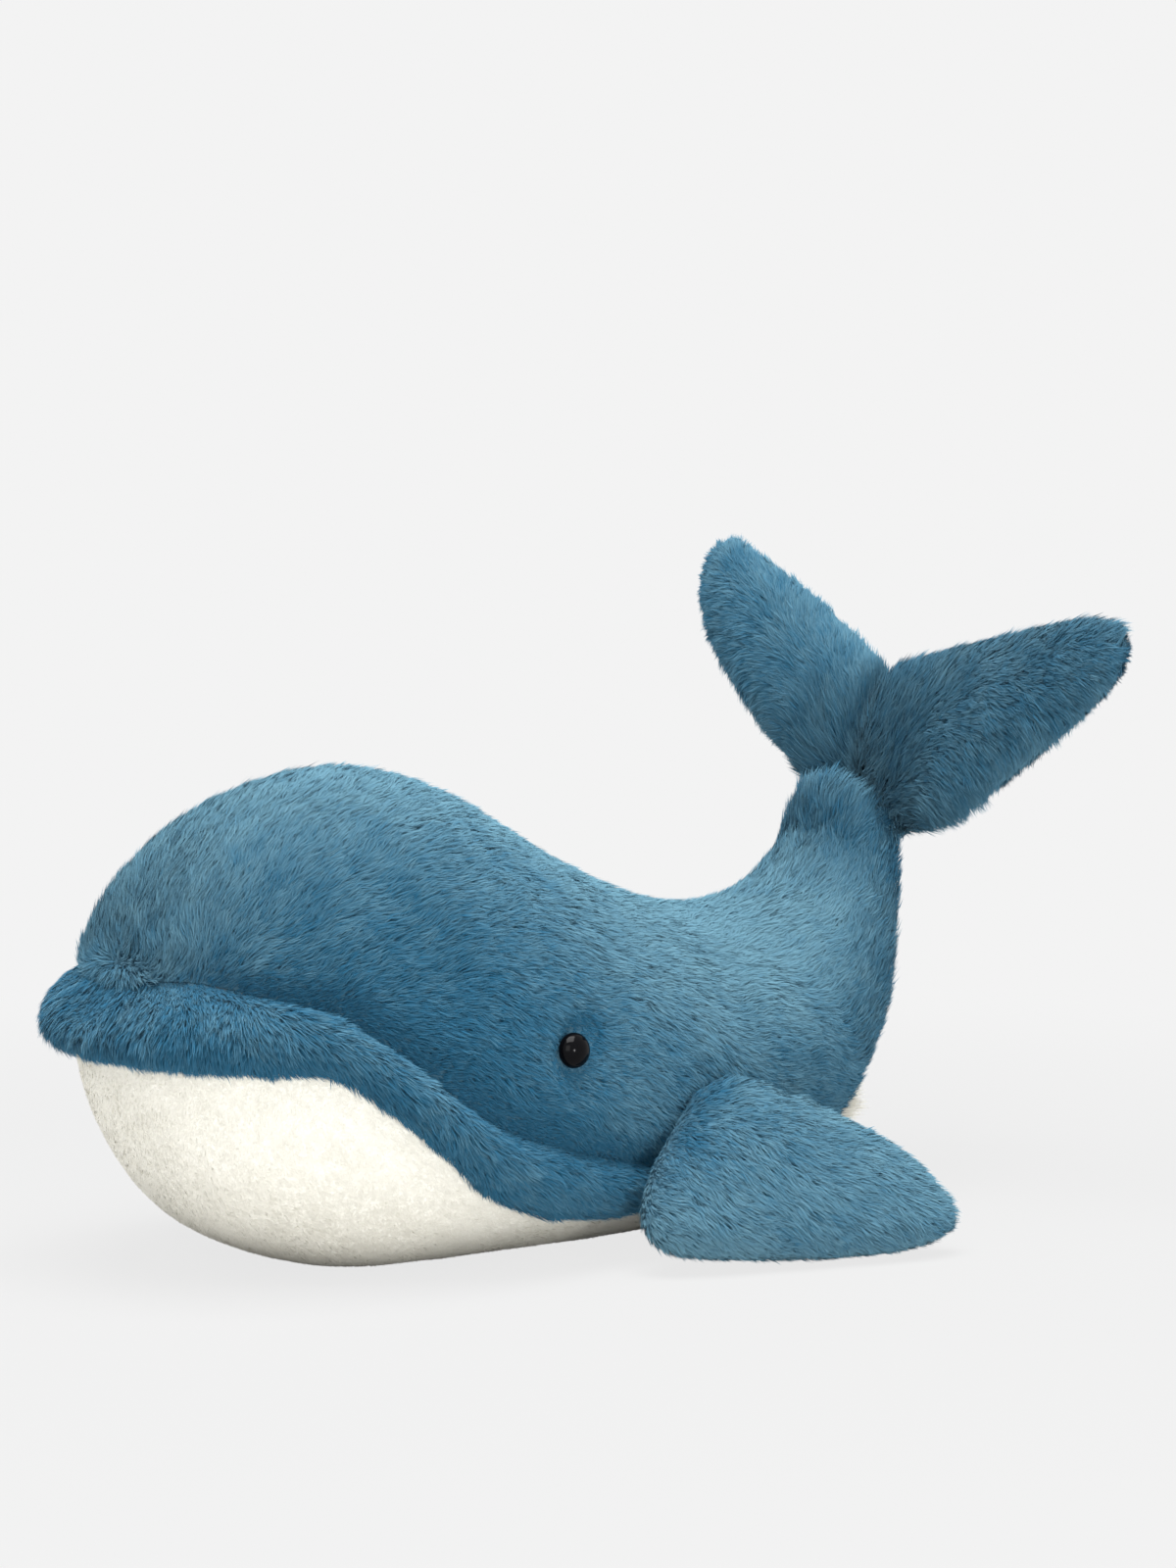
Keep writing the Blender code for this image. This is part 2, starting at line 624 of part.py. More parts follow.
def cut_from(item, cutter):
    """Cuts one object's shape out of another, and hides the cutter."""
    cutter.hide_render = True
    cutter.display_type = "WIRE"
    cut = item.modifiers.new("cut_" + cutter.name, "BOOLEAN")
    cut.operation = "DIFFERENCE"
    cut.solver = "EXACT"
    cut.object = cutter


def flipped(shape):
    points, faces = shape
    return points * np.array([1.0, -1.0, 1.0]), faces


def side_edges(u):
    low = np.zeros_like(u)
    high = crease_angle(u)
    return low, np.maximum(high - gap_angle(u, high), 0.0)


def belly_edges(u):
    edge = border_angle(u)
    edge = np.minimum(edge + gap_angle(u, edge), math.pi)
    return edge, 2 * math.pi - edge


def lip_edges(u):
    low, high = crease_angle(u), border_angle(u)
    low = np.where(low > 0, low + gap_angle(u, low), 0.0)
    high = np.where(high < math.pi - STEP, high - gap_angle(u, high), math.pi)
    return np.minimum(low, (low + high) / 2), np.maximum(high, (low + high) / 2)


def moved_place(u, v, gap):
    """The place u a gap further along the trunk's surface."""
    speed = np.linalg.norm(trunk(u + STEP, v) - trunk(u, v)) / STEP
    return u + gap / speed


def side_panel_shape():
    """A blue side panel: from its point above the nose, down to the lip or the border."""
    places = body_places()
    notch = places[3]
    places = np.concatenate([[moved_place(notch, 0.0, SEAM_GAP)], places[4:]])

    def edges(u):
        low, high = side_edges(u)
        return low, np.where(u <= places[0], 0.0, high)

    cut = TAIL_FIRST_STATION / LAST_STATION
    grids = [patch(edges, places, SIDE_COLUMNS, depth, SEAM_GAP / 2, cut) for depth in (0.0, SKIN)]
    return shell(*grids)


def belly_panel_shape():
    """The white belly panel: from its point under the nose, up to the lip and the border."""
    places = body_places()
    chin = places[1]
    places = np.concatenate([[moved_place(chin, math.pi, SEAM_GAP)], places[2:]])

    def edges(u):
        low, high = belly_edges(u)
        start = u <= places[0]
        return np.where(start, math.pi, low), np.where(start, math.pi, high)

    cut = TAIL_FIRST_STATION / LAST_STATION
    grids = [patch(edges, places, BELLY_COLUMNS, depth, 0.0, cut, crowd=BELLY_CROWD)
             for depth in (0.0, SKIN)]
    return shell(*grids)


def lip_shape():
    """A padded lip strip, from the nose to its end by the flipper."""
    places = body_places()
    end = moved_place(places[-1], border_angle(places[-1:])[0], -2 * SEAM_GAP)
    places = np.concatenate([places[:-1], [end]])

    def edges(u):
        low, high = lip_edges(u)
        middle = (low + high) / 2
        return np.where(u >= end, middle, low), np.where(u >= end, middle, high)

    outer = patch(edges, places, LIP_COLUMNS, 0.0, SEAM_GAP / 2, None, lip_bulge)
    inner = patch(edges, places, LIP_COLUMNS, SKIN, SEAM_GAP / 2, None)
    return shell(outer, inner)


def body_filling_shape():
    """The stuffing of the body: the trunk at a depth, closed behind by the joint's barrel."""
    depth = SKIN + FILLING_GAP
    v = np.linspace(0, 2 * math.pi, FILLING_COLUMNS, endpoint=False)
    end = barrel_exit(v, depth, TAIL_GAP)
    places = body_places()[1:]
    rows = [np.repeat(trunk(0.0, 0.0, depth)[None], FILLING_COLUMNS, axis=0)]
    rows += [trunk(np.full_like(v, u), v, depth) for u in places]
    for step in np.arange(1, REAR_ROWS + 1) / REAR_ROWS:
        rows.append(trunk(places[-1] + (end - places[-1]) * step, v, depth))
    cap = barrel_cap(rows[-1], TAIL_GAP, CAP_ROWS)[::-1]
    return closed_form(np.concatenate([np.array(rows), cap]))


def strip_end():
    """Where the white strip under the tail runs out, short of the end of the tail stock."""
    low = (LAST_STATION - 3) / LAST_STATION
    return first_place(lambda u: trunk_ring(np.array(u))[2][1] > border_height(u), low, 1.0)


def tail_rows(start):
    """Places u of the tail's rows, from the barrel to the white strip's end and on to the pole."""
    turn = strip_end()
    rows = [start + (turn - start) * step for step in 1 - (1 - np.linspace(0, 1, TAIL_ROWS + 1)) ** TAIL_CROWD]
    return rows + [turn + (1 - turn) * step + 0 * start for step in np.linspace(0, 1, END_ROWS + 1)[1:]]


def tail_grid(edges, columns, depth, side_gap, whole):
    """A grid of a tail panel, from the barrel to the pole, or only to the white strip's end."""
    share = np.linspace(0, 1, columns + 1)
    low, high = edges(np.array([TAIL_FIRST_STATION / LAST_STATION]))
    guess = low + (high - low) * share
    for _ in range(CLOSE_SAMPLES // 4):
        start = barrel_exit(guess, depth, 0.0, side_gap)
        low, high = edges(start)
        guess = low + (high - low) * share
    rows = []
    for u in tail_rows(start) if whole else tail_rows(start)[:-END_ROWS]:
        low, high = edges(u)
        v = low + (high - low) * share
        rows.append(trunk(u, v, depth, side_gap))
    return np.array(rows)


def tail_side_edges(u):
    edge = border_angle(u)
    return np.zeros_like(u), np.where(edge < math.pi - STEP, edge - gap_angle(u, edge), edge)


def tail_under_edges(u):
    turn = strip_end()
    edge = border_angle(u + moved_place(turn, math.pi, SEAM_GAP) - turn)
    edge = np.where(edge < math.pi - STEP, edge + gap_angle(u, edge), math.pi)
    return np.minimum(edge, math.pi), np.maximum(2 * math.pi - edge, math.pi)


def tail_underside_shape():
    """The white strip under the tail, whose point stops a seam's gap short of its end."""
    grids = []
    for depth in (0.0, SKIN):
        grid = tail_grid(tail_under_edges, TAIL_COLUMNS, depth, 0.0, False)
        grid[-1] = trunk(moved_place(strip_end(), math.pi, -SEAM_GAP), math.pi, depth)
        grids.append(grid)
    return shell(*grids)


def tail_filling_shape():
    """The stuffing of the tail stock, hollowed at its root to sit round the barrel."""
    depth = SKIN + FILLING_GAP
    v = np.linspace(0, 2 * math.pi, FILLING_COLUMNS, endpoint=False)
    start = barrel_exit(v, depth, 0.0)
    rows = [trunk(u, v, depth) for u in tail_rows(start)]
    cap = barrel_cap(rows[0], 0.0, CAP_ROWS)
    return closed_form(np.concatenate([cap, np.array(rows)]))


def eye_place():
    u = np.array(EYE_STATION / LAST_STATION)
    v = np.array(EYE_ANGLE)
    return trunk(u, v, 0.0, SEAM_GAP / 2), trunk_normal(u, v)


def eye_profile():
    """The bead's dome, its flat back and its shank, as radius and place along the eye's axis."""
    dome = [(EYE_RADIUS * math.cos(a), EYE_SEAT_GAP + EYE_HEIGHT * (0.2 + 0.8 * math.sin(a)))
            for a in np.linspace(math.pi / 2, 0, 6)]
    back = [(EYE_RADIUS * 0.8, EYE_SEAT_GAP), (SHANK_RADIUS, EYE_SEAT_GAP)]
    shank = [(SHANK_RADIUS, -SHANK_LENGTH), (0.0, -SHANK_LENGTH)]
    return dome + back + shank


def washer_profile():
    """A ring round the shank, against the inside of the skin."""
    outer = -(SKIN + WASHER_GAP)
    inner = outer - WASHER_THICKNESS
    hole = SHANK_RADIUS + SHANK_GAP
    return [(hole, outer), (WASHER_RADIUS, outer), (WASHER_RADIUS, inner), (hole, inner)]


def ring_form(profile_rows):
    """Points and faces of a closed profile turned into a ring."""
    count, around = profile_rows.shape[:2]
    faces = []
    for i in range(count):
        for j in range(around):
            a, b = i * around, (i + 1) % count * around
            k = (j + 1) % around
            faces.append((a + j, a + k, b + k, b + j))
    return profile_rows.reshape(-1, 3), faces


def pouch_rows(grow, drop):
    """A soft flat pouch on the belly panel; grow makes it larger all round and drop lowers its foot."""
    around = np.linspace(0, 2 * math.pi, FILLING_COLUMNS, endpoint=False)
    rows = []
    base = SKIN + POUCH_GAP
    for turn in np.linspace(0, math.pi, 9):
        reach = abs(math.sin(turn)) ** POUCH_FULLNESS_SHARE if 0 < turn < math.pi else 0.0
        x = POUCH_PLACE_SHARE * TRUNK_LENGTH + (POUCH_LENGTH / 2 + grow) * reach * np.cos(around)
        y = (POUCH_WIDTH / 2 + grow) * reach * np.sin(around)
        z = base + POUCH_HEIGHT / 2 + (POUCH_HEIGHT / 2 + grow) * math.cos(turn) + np.zeros_like(x)
        if turn > math.pi / 2:
            z = z - drop
        rows.append(np.stack([x, y, z], -1))
    return np.array(rows)


def box_centre_shift(shapes):
    """The move that puts the middle of everything at X = 0."""
    low = min(points[:, 0].min() for points, _ in shapes)
    high = max(points[:, 0].max() for points, _ in shapes)
    return np.array([-(low + high) / 2, 0.0, 0.0])


def main():
    for item in list(bpy.data.objects):
        bpy.data.objects.remove(item)

    fluke = leaf_table(FLUKE_SHARES, FLUKE_ROOT, FLUKE_REACH, FLUKE_HALF_THICKNESS)
    flipper = leaf_table(FLIPPER_SHARES, FLIPPER_LENGTH, FLIPPER_DROP, FLIPPER_HALF_THICKNESS)
    hinges = fluke_frames()
    root, along, away, face = flipper_frame()
    mirror = np.array([1.0, -1.0, 1.0])
    eye_point, eye_way = eye_place()

    side, lip = side_panel_shape(), lip_shape()
    tail_side = shell(tail_grid(tail_side_edges, TAIL_COLUMNS, 0.0, SEAM_GAP / 2, True),
                      tail_grid(tail_side_edges, TAIL_COLUMNS, SKIN, SEAM_GAP / 2, True))
    eye = closed_form(turned(eye_profile(), eye_point, eye_way, 16))
    washer = ring_form(turned(washer_profile(), eye_point, eye_way, 16))

    pieces = {
        "body": [
            ("side_panel_left", side, BLUE_PLUSH),
            ("side_panel_right", flipped(side), BLUE_PLUSH),
            ("belly_panel", belly_panel_shape(), WHITE_PLUSH),
            ("lip_left", lip, BLUE_PLUSH),
            ("lip_right", flipped(lip), BLUE_PLUSH),
            ("body_filling", body_filling_shape(), STUFFING),
            ("pellet_pouch", closed_form(pouch_rows(0.0, 0.0)), POUCH_CLOTH),
            ("eye_left", eye, BLACK_BEAD),
            ("eye_right", flipped(eye), BLACK_BEAD),
            ("eye_washer_left", washer, WASHER_PLASTIC),
            ("eye_washer_right", flipped(washer), WASHER_PLASTIC),
        ],
        "tail": [
            ("tail_side_left", tail_side, BLUE_PLUSH),
            ("tail_side_right", flipped(tail_side), BLUE_PLUSH),
            ("tail_underside", tail_underside_shape(), WHITE_PLUSH),
            ("tail_filling", tail_filling_shape(), STUFFING),
        ],
    }
    pivots = {"body": np.zeros(3), "tail": tail_pivot()}
    for hand in ("left", "right"):
        form = Leaf(fluke, hand == "left")
        name = "fluke_" + hand
        pivots[name] = hinges[hand][0]
        pieces[name] = [
            (name + "_front", form.panel(1.0, hinges[hand]), BLUE_PLUSH),
            (name + "_back", form.panel(-1.0, hinges[hand]), BLUE_PLUSH),
            (name + "_filling", form.filling(hinges[hand]), STUFFING),
        ]
        sign = np.ones(3) if hand == "left" else mirror
        frame = (root * sign, along * sign, away * sign, face * sign)
        form = Leaf(flipper, False)
        name = "flipper_" + hand
        pivots[name] = frame[0]
        pieces[name] = [
            (name + "_top", form.panel(1.0, frame), BLUE_PLUSH),
            (name + "_under", form.panel(-1.0, frame), BLUE_PLUSH),
            (name + "_filling", form.filling(frame), STUFFING),
        ]

    shift = box_centre_shift([shape for group in pieces.values() for _, shape, _ in group])
    made = {}
    for body, group in pieces.items():
        pivot = bpy.data.objects.new(body + "_pivot", None)
        bpy.context.collection.objects.link(pivot)
        place = pivots[body] + (shift if body != "body" else 0.0)
        pivot.location = place
        for name, (points, faces), colour in group:
            made[name] = mesh_object(name, points + shift, faces, colour, pivot, place)

    for hand, sign in (("left", np.ones(3)), ("right", mirror)):
        point, way = (eye_point + shift) * sign, eye_way * sign
        hole = SHANK_RADIUS + SHANK_GAP
        shaft = [(0.0, EYE_RADIUS), (hole, EYE_RADIUS), (hole, -2 * SHANK_LENGTH), (0.0, -2 * SHANK_LENGTH)]
        drill = mesh_object("hole_cutter_" + hand, *closed_form(turned(shaft, point, way, 16)), WASHER_PLASTIC, None, 0.0)
        cut_from(made["side_panel_" + hand], drill)
        wide, deep = WASHER_RADIUS + POCKET_GAP, SHANK_LENGTH + POCKET_GAP
        well = [(0.0, EYE_RADIUS), (wide, EYE_RADIUS), (wide, -deep), (0.0, -deep)]
        pocket = mesh_object("pocket_cutter_" + hand, *closed_form(turned(well, point, way, 16)), WASHER_PLASTIC, None, 0.0)
        cut_from(made["body_filling"], pocket)
    points, faces = closed_form(pouch_rows(POUCH_GAP, POUCH_HEIGHT))
    cutter = mesh_object("pouch_cutter", points + shift, faces, POUCH_CLOTH, None, 0.0)
    cut_from(made["body_filling"], cutter)


main()
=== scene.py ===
"""Dresses the plush whale: sewn skins, combed fur as real blades, bead eyes, and a plain studio.

Metres, +Z up, nose towards -X, the whale's left side towards -Y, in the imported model's frame.
"""
import json
import math

import bmesh
import bpy
import numpy as np
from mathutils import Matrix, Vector

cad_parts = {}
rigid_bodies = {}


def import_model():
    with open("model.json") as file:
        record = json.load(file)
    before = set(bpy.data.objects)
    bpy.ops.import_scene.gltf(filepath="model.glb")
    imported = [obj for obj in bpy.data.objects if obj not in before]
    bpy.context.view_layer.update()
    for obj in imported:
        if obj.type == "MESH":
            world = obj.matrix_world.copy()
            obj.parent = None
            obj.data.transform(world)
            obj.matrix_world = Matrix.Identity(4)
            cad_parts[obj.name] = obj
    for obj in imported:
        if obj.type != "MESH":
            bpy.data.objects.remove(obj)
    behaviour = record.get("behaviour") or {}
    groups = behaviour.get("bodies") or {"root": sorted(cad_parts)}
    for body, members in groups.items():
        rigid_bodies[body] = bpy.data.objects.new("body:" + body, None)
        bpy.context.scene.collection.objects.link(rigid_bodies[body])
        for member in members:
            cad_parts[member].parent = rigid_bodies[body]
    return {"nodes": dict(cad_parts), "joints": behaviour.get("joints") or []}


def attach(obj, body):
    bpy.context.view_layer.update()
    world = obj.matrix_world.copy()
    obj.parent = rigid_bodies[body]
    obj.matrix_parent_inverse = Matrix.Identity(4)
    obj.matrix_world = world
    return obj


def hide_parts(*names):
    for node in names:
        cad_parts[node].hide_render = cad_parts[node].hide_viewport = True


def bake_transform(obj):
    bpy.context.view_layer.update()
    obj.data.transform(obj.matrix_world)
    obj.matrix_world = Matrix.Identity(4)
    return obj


for item in list(bpy.data.objects):
    bpy.data.objects.remove(item)
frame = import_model()
bpy.context.view_layer.update()

bl_info = {
    "name": "Plush whale",
    "version": (1, 0, 0),
    "blender": (4, 5, 0),
    "location": "3D View > Sidebar > Plush",
    "description": "Sews and combs a plush whale over its packed model",
    "category": "Add Mesh",
}

# ---------------------------------------------------------------- the sewing pattern
# The same forms as the solids: the frame stands this far from the nose.
NOSE_X = -0.142592
TRUNK_LENGTH, HEAD_HEIGHT, BODY_HALF_WIDTH, FLAT_CUT = 0.2735, 0.1375, 0.0655, 0.0005
SKIN, SEAM_GAP, FILLING_GAP = 0.0016, 0.00016, 0.0010
SIDE_GAP = SEAM_GAP / 2
LIP_BULGE = 0.0105
FLUKE_REACH, FLUKE_ROOT, FLUKE_HALF_THICKNESS = 0.0840, 0.041, 0.0090
FLIPPER_LENGTH, FLIPPER_DROP, FLIPPER_HALF_THICKNESS = 0.0890, 0.0505, 0.0085
FLUKE_LEAN, FLUKE_ROLL, FLUKE_TURN = math.radians(13), math.radians(6), math.radians(3)
FLIPPER_TURN, FLIPPER_SPLAY = math.radians(-15), math.radians(28)
EYE_PLACE = (6.93 / 18, math.radians(83))
EYE_RADIUS, EYE_HEIGHT, EYE_SEAT, SHANK_RADIUS, SHANK_LENGTH = 0.0050, 0.0046, 0.0004, 0.0015, 0.008
BARREL_BITE, BARREL_SIDE, TAIL_FIRST, BARREL_LAST = 0.0010, 0.0030, 11.3, 16
LIP_END, SEAM_START, STRIP_SHORT = 8.7, 0.0008, 0.002
MIRROR = np.array([1.0, -1.0, 1.0])

# A trunk ring's top, bottom and half width as shares of the sizes, the height of its middle
# between bottom and top, and how full its lower corners are: x, z, x, z, half, middle, corner.
TRUNK = np.array([
    (0.000, 0.516, 0.000, 0.516, 0.000, 0.50, 1.00), (0.011, 0.640, 0.013, 0.385, 0.305, 0.50, 1.00),
    (0.035, 0.753, 0.042, 0.247, 0.511, 0.49, 0.97), (0.075, 0.851, 0.090, 0.127, 0.679, 0.47, 0.92),
    (0.135, 0.931, 0.155, 0.051, 0.817, 0.45, 0.86), (0.214, 0.985, 0.232, 0.007, 0.916, 0.43, 0.80),
    (0.302, 1.000, 0.324, 0.000, 0.977, 0.42, 0.77), (0.393, 0.942, 0.422, 0.000, 1.000, 0.42, 0.77),
    (0.495, 0.825, 0.525, 0.000, 0.992, 0.43, 0.77), (0.605, 0.724, 0.627, 0.002, 0.931, 0.46, 0.80),
    (0.711, 0.665, 0.726, 0.018, 0.832, 0.48, 0.86), (0.795, 0.658, 0.821, 0.065, 0.702, 0.50, 0.93),
    (0.857, 0.687, 0.905, 0.163, 0.573, 0.50, 0.98), (0.894, 0.735, 0.962, 0.300, 0.458, 0.50, 1.00),
    (0.918, 0.789, 0.996, 0.453, 0.374, 0.50, 1.00), (0.927, 0.833, 1.015, 0.591, 0.321, 0.50, 1.00),
    (0.936, 0.869, 1.024, 0.707, 0.282, 0.50, 1.00), (0.956, 0.898, 1.026, 0.810, 0.229, 0.50, 1.00),
    (1.000, 0.882, 1.000, 0.882, 0.000, 0.50, 1.00)])
LAST = len(TRUNK) - 1

# Heights of the crease above the lip roll and of the white cloth's border at each ring, as shares
# of the head's height, and how far the lip roll bulges there.
CREASE = np.array([0.625, 0.625, 0.631, 0.607, 0.560, 0.444, 0.316, 0.247, 0.196, 0.145,
                   0.160, 0.204, 0.305, 0.422, 0.560, 0.669, 0.764, 0.800, 0.780])
BORDER = np.array([0.476, 0.476, 0.474, 0.467, 0.456, 0.338, 0.188, 0.124, 0.120, 0.145,
                   0.160, 0.204, 0.305, 0.422, 0.560, 0.669, 0.764, 0.800, 0.780])
BULGE = np.array([0.72, 0.70, 0.60, 0.58, 0.62, 0.64, 0.62, 0.54, 0.36] + [0.0] * 10)

# A leaf's two rails and half thickness from its root to its tip, as shares of its sizes.
FLUKE = np.array([
    (-0.024, 0.000, 1.000, 0.000, 0.88), (-0.061, 0.140, 1.146, 0.180, 1.00),
    (0.049, 0.320, 1.293, 0.385, 1.00), (0.329, 0.520, 1.427, 0.585, 0.94),
    (0.671, 0.710, 1.549, 0.765, 0.82), (0.976, 0.865, 1.600, 0.900, 0.60),
    (1.220, 0.960, 1.560, 0.970, 0.38), (1.402, 1.000, 1.402, 1.000, 0.00)])

# Sewn by hand, the left fluke's lower lobe sags and the right one's is drawn up: shares of the root.
LOWER_SAG = {"left": (0.0, -0.09, -0.10, -0.05, 0, 0, 0, 0),
             "right": (0.04, 0.14, 0.19, 0.14, 0.05, -0.02, -0.02, 0)}
UPPER_FILL = {"left": (0, 0, 0, 0, 0, 0, -0.02, 0), "right": (0, 0.03, 0.06, 0.07, 0.07, 0.07, 0.06, 0.02)}
FLIPPER = np.array([
    (-0.169, 0.000, 0.124, 0.000, 0.60), (-0.275, 0.248, 0.213, 0.069, 0.78),
    (-0.360, 0.495, 0.315, 0.198, 0.95), (-0.399, 0.733, 0.410, 0.307, 1.00),
    (-0.331, 0.891, 0.494, 0.416, 1.00), (-0.101, 0.960, 0.562, 0.525, 0.94),
    (0.225, 0.996, 0.612, 0.663, 0.78), (0.494, 0.976, 0.646, 0.792, 0.52),
    (0.629, 0.901, 0.629, 0.901, 0.00)])
# The flipper's root is sewn on this much lower at its first rows: shares of its drop.
ROOT_DROP = (0.07, 0.035, 0.01)

# Rows and columns of the grids of cloth and of stuffing.
SIDE_ROWS, TAIL_ROWS, SIDE_COLUMNS, LIP_ROWS, LIP_COLUMNS = 140, 56, 54, 150, 30
BELLY_ROWS, STRIP_ROWS, BELLY_COLUMNS, LEAF_ROWS, LEAF_COLUMNS = 110, 44, 60, 60, 44
STUFFING_ROWS, STUFFING_COLUMNS = 18, 16

# How the pile lies on the sides, the lip roll and the belly, seen from the left: place x and z in
# millimetres, then the way that it is combed, in degrees up from straight back.
SIDE_COMB = np.array([
    (-139, 88, -50), (-131, 87, 25), (-134, 98, 44), (-120, 110, 46), (-95, 130, 22), (-60, 137, 4),
    (-112, 84, 10), (-80, 92, 8),
    (-40, 112, -12), (-75, 66, -18), (-45, 62, -26), (-20, 60, -36), (-15, 92, -26), (10, 80, -26),
    (20, 48, -42), (10, 110, -24), (50, 88, -4), (50, 50, -22), (80, 91, 18), (80, 40, -4),
    (105, 55, 42), (110, 98, 62), (124, 80, 74), (127, 120, 60)], float)
LIP_COMB = np.array([
    (-141, 80, -76), (-138, 60, -84), (-112, 66, -52), (-75, 50, -46), (-35, 34, -40), (0, 24, -30),
    (15, 20, -16)], float)
BELLY_COMB = np.array([(-140, 60, -80), (-100, 20, -40), (0, 5, 0), (90, 15, 20), (125, 60, 70)], float)

# Waves over a sheet of pile: each one's height, its length in metres and its seed.
SWIRL_WAVES = ((0.28, 0.030, 5), (0.18, 0.011, 6), (0.22, 0.006, 16))
LENGTH_WAVES = ((0.10, 0.014, 7),)
TONE_WAVES = ((0.08, 0.022, 8), (0.10, 0.008, 18))
# Where a blade's middle and tip and its tuft's own tip stand, as shares of its length: up along the
# cloth's normal, and on along the comb. The middle is drawn to the tuft's by a share of the pull.
MIDDLE_UP, MIDDLE_ON, TIP_UP, TIP_ON = 0.40, 0.28, 0.16, 0.52
TUFT_UP, TUFT_ON, MIDDLE_PULL = 0.55, 0.80, 0.4
# How tufts and their blades vary: the standard deviation, or the least and the most share.
TUFT_TURN, TUFT_LENGTH, TUFT_TONE = 0.15, (0.76, 1.20), 0.11
BLADE_SIDE, BLADE_TILT, BLADE_TWIST, BLADE_TONE = 0.24, 0.08, 0.5, 0.055
BLADE_LENGTH, BLADE_RISE, BLADE_WIDTH = (0.72, 1.18), (0.75, 1.25), (0.7, 1.3)
# A tuft's radius in blade widths, how deep roots go, the lowest point of the pile, and how far the
# tone goes to either side on the map.
TUFT_RADIUS, ROOT_DEPTH, LOWEST, MAP_SPREAD = 4.0, 0.0003, 0.0002, 0.012
# A blade's corners, where its faces start, its places on the map, and its points' order when it
# faces inwards. A whole blade is a slim diamond of two triangles; a plain one is a triangle.
WHOLE_BLADE = ((0, 2, 1, 1, 2, 3), (0, 3), (0, 1, -1, -1, 1, 0), (0, 0.5, 0.5, 0.5, 0.5, 1), (0, 2, 1, 3))
PLAIN_BLADE = ((0, 1, 2), (0,), (-1, 1, 0), (0, 0, 1), (1, 0, 2))

# How a leaf is combed and shaded. The comb runs out from the source point beside its root, in metres along
# the root and away from it. Upward, fan and climb turn it up beyond the root, apart towards the rims and up
# close to the root. Drop and shade change the pile's length and tone at the root, within the reach and up to
# the wide share round the face; the shade is painted shadow at a flipper's root, under the body, and painted
# light lifting a fluke's shaded root. Wrap leans the back's rim forward.
FLUKE_COMB = {"source": (0.004, -0.034), "upward": -0.5, "fan": 1.3, "climb": 0.9, "drop": 0.6,
              "shade": 0.08, "reach": 0.022, "wide": 0.80, "wrap": 0.8, "tip": 0.28, "lift": 0.60}
FLIPPER_COMB = {"source": (-0.085, -0.030), "upward": 0.0, "fan": 0.0, "climb": 0.0, "drop": -0.4,
                "shade": -0.62, "reach": 0.046, "wide": 0.50, "wrap": 0.0, "tip": 0.25, "lift": 0.66}
# Each fluke's own tone, set apart to even out how differently the two are lit: painted light and shade.
FLUKE_TONE = {"left": 0.24, "right": 0.27}
FLUKE_RIM, FLIPPER_RIM = {"front": 0.10, "back": -0.40}, {"top": -0.30, "under": -0.30}

# Sheen of each pile, and how far along its blades the cloth below takes its colour from.
SHEEN = {"blue": 0.18, "white": 0.1}
CLOTH_ALONG = {"blue": 0.4, "white": 0.85}

# Each lamp's setting, place and width, and the point that they all face.
LAMPS = (("key", (-0.20, -0.28, 1.40), 1.1), ("fill", (-1.2, -1.1, 0.65), 0.9),
         ("catch", (-0.14, -1.62, 0.24), 0.20))
LAMP_AIM = Vector((0, 0, 0.06))
CAMERA_AIM, CAMERA_BACK = Vector((0.0239, 0.0, 0.095)), 1.3
CAMERA_TURN, CAMERA_TILT = math.radians(38), math.radians(6.5)
SENSOR, LENS, SHIFT = 36.0, 101.1, 0.0756

STEP = 1e-4
MM = 0.001


def smooth(table, u):
    """Catmull-Rom through a table's rows: b + f/2 ((c-a) + f ((2a-5b+4c-d) + f (3b-a-3c+d)))."""
    table = np.asarray(table, float)
    last = len(table) - 1
    ends = np.concatenate([[2 * table[0] - table[1]], table, [2 * table[-1] - table[-2]]])
    s = np.clip(np.asarray(u, float), 0, 1) * last
    i = np.minimum(s.astype(int), last - 1)
    f = s - i
    if table.ndim > 1:
        f = f[..., None]
    a, b, c, d = ends[i], ends[i + 1], ends[i + 2], ends[i + 3]
    return b + 0.5 * f * ((c - a) + f * ((2 * a - 5 * b + 4 * c - d) + f * (3 * b - a - 3 * c + d)))


def unit(vectors):
    """Each vector over its own length."""
    return vectors / np.maximum(np.linalg.norm(vectors, axis=-1, keepdims=True), 1e-12)


def rails(table, u, depth, closed_start):
    """Two rail lines and the half width between them, each moved in by a depth along its normal."""
    here = table(u)
    change = table(np.clip(u + STEP, 0, 1)) - table(np.clip(u - STEP, 0, 1))
    first, second, half = here[..., 0:2], here[..., 2:4], here[..., 4]
    along_first, along_second = unit(change[..., 0:2]), unit(change[..., 2:4])
    in_first = np.stack([along_first[..., 1], -along_first[..., 0]], -1)
    in_second = np.stack([-along_second[..., 1], along_second[..., 0]], -1)
    run = np.linalg.norm(change[..., 0:2] + change[..., 2:4], axis=-1) / 2
    half = half - depth * run / np.maximum(np.hypot(run, change[..., 4]), 1e-12)
    half = np.where((u >= 1) | (closed_start & (u <= 0)), 0.0, half)
    return first + depth * in_first, second + depth * in_second, half


def trunk_sizes(u):
    """The trunk's table in metres, its underside lowered by the floor's cut."""
    table = smooth(TRUNK, u) * np.array([TRUNK_LENGTH, HEAD_HEIGHT, TRUNK_LENGTH, HEAD_HEIGHT,
                                         BODY_HALF_WIDTH, 1, 1])
    table[..., 3] -= FLAT_CUT
    return table


def trunk_ring(u, depth=0.0):
    """Top, middle and bottom point of a ring, its half width and how full its corners are."""
    u = np.asarray(u, float)
    top, bottom, half = rails(trunk_sizes, u, depth, True)
    shares = smooth(TRUNK, u)
    return top, bottom + shares[..., 5:6] * (top - bottom), bottom, half, shares[..., 6]


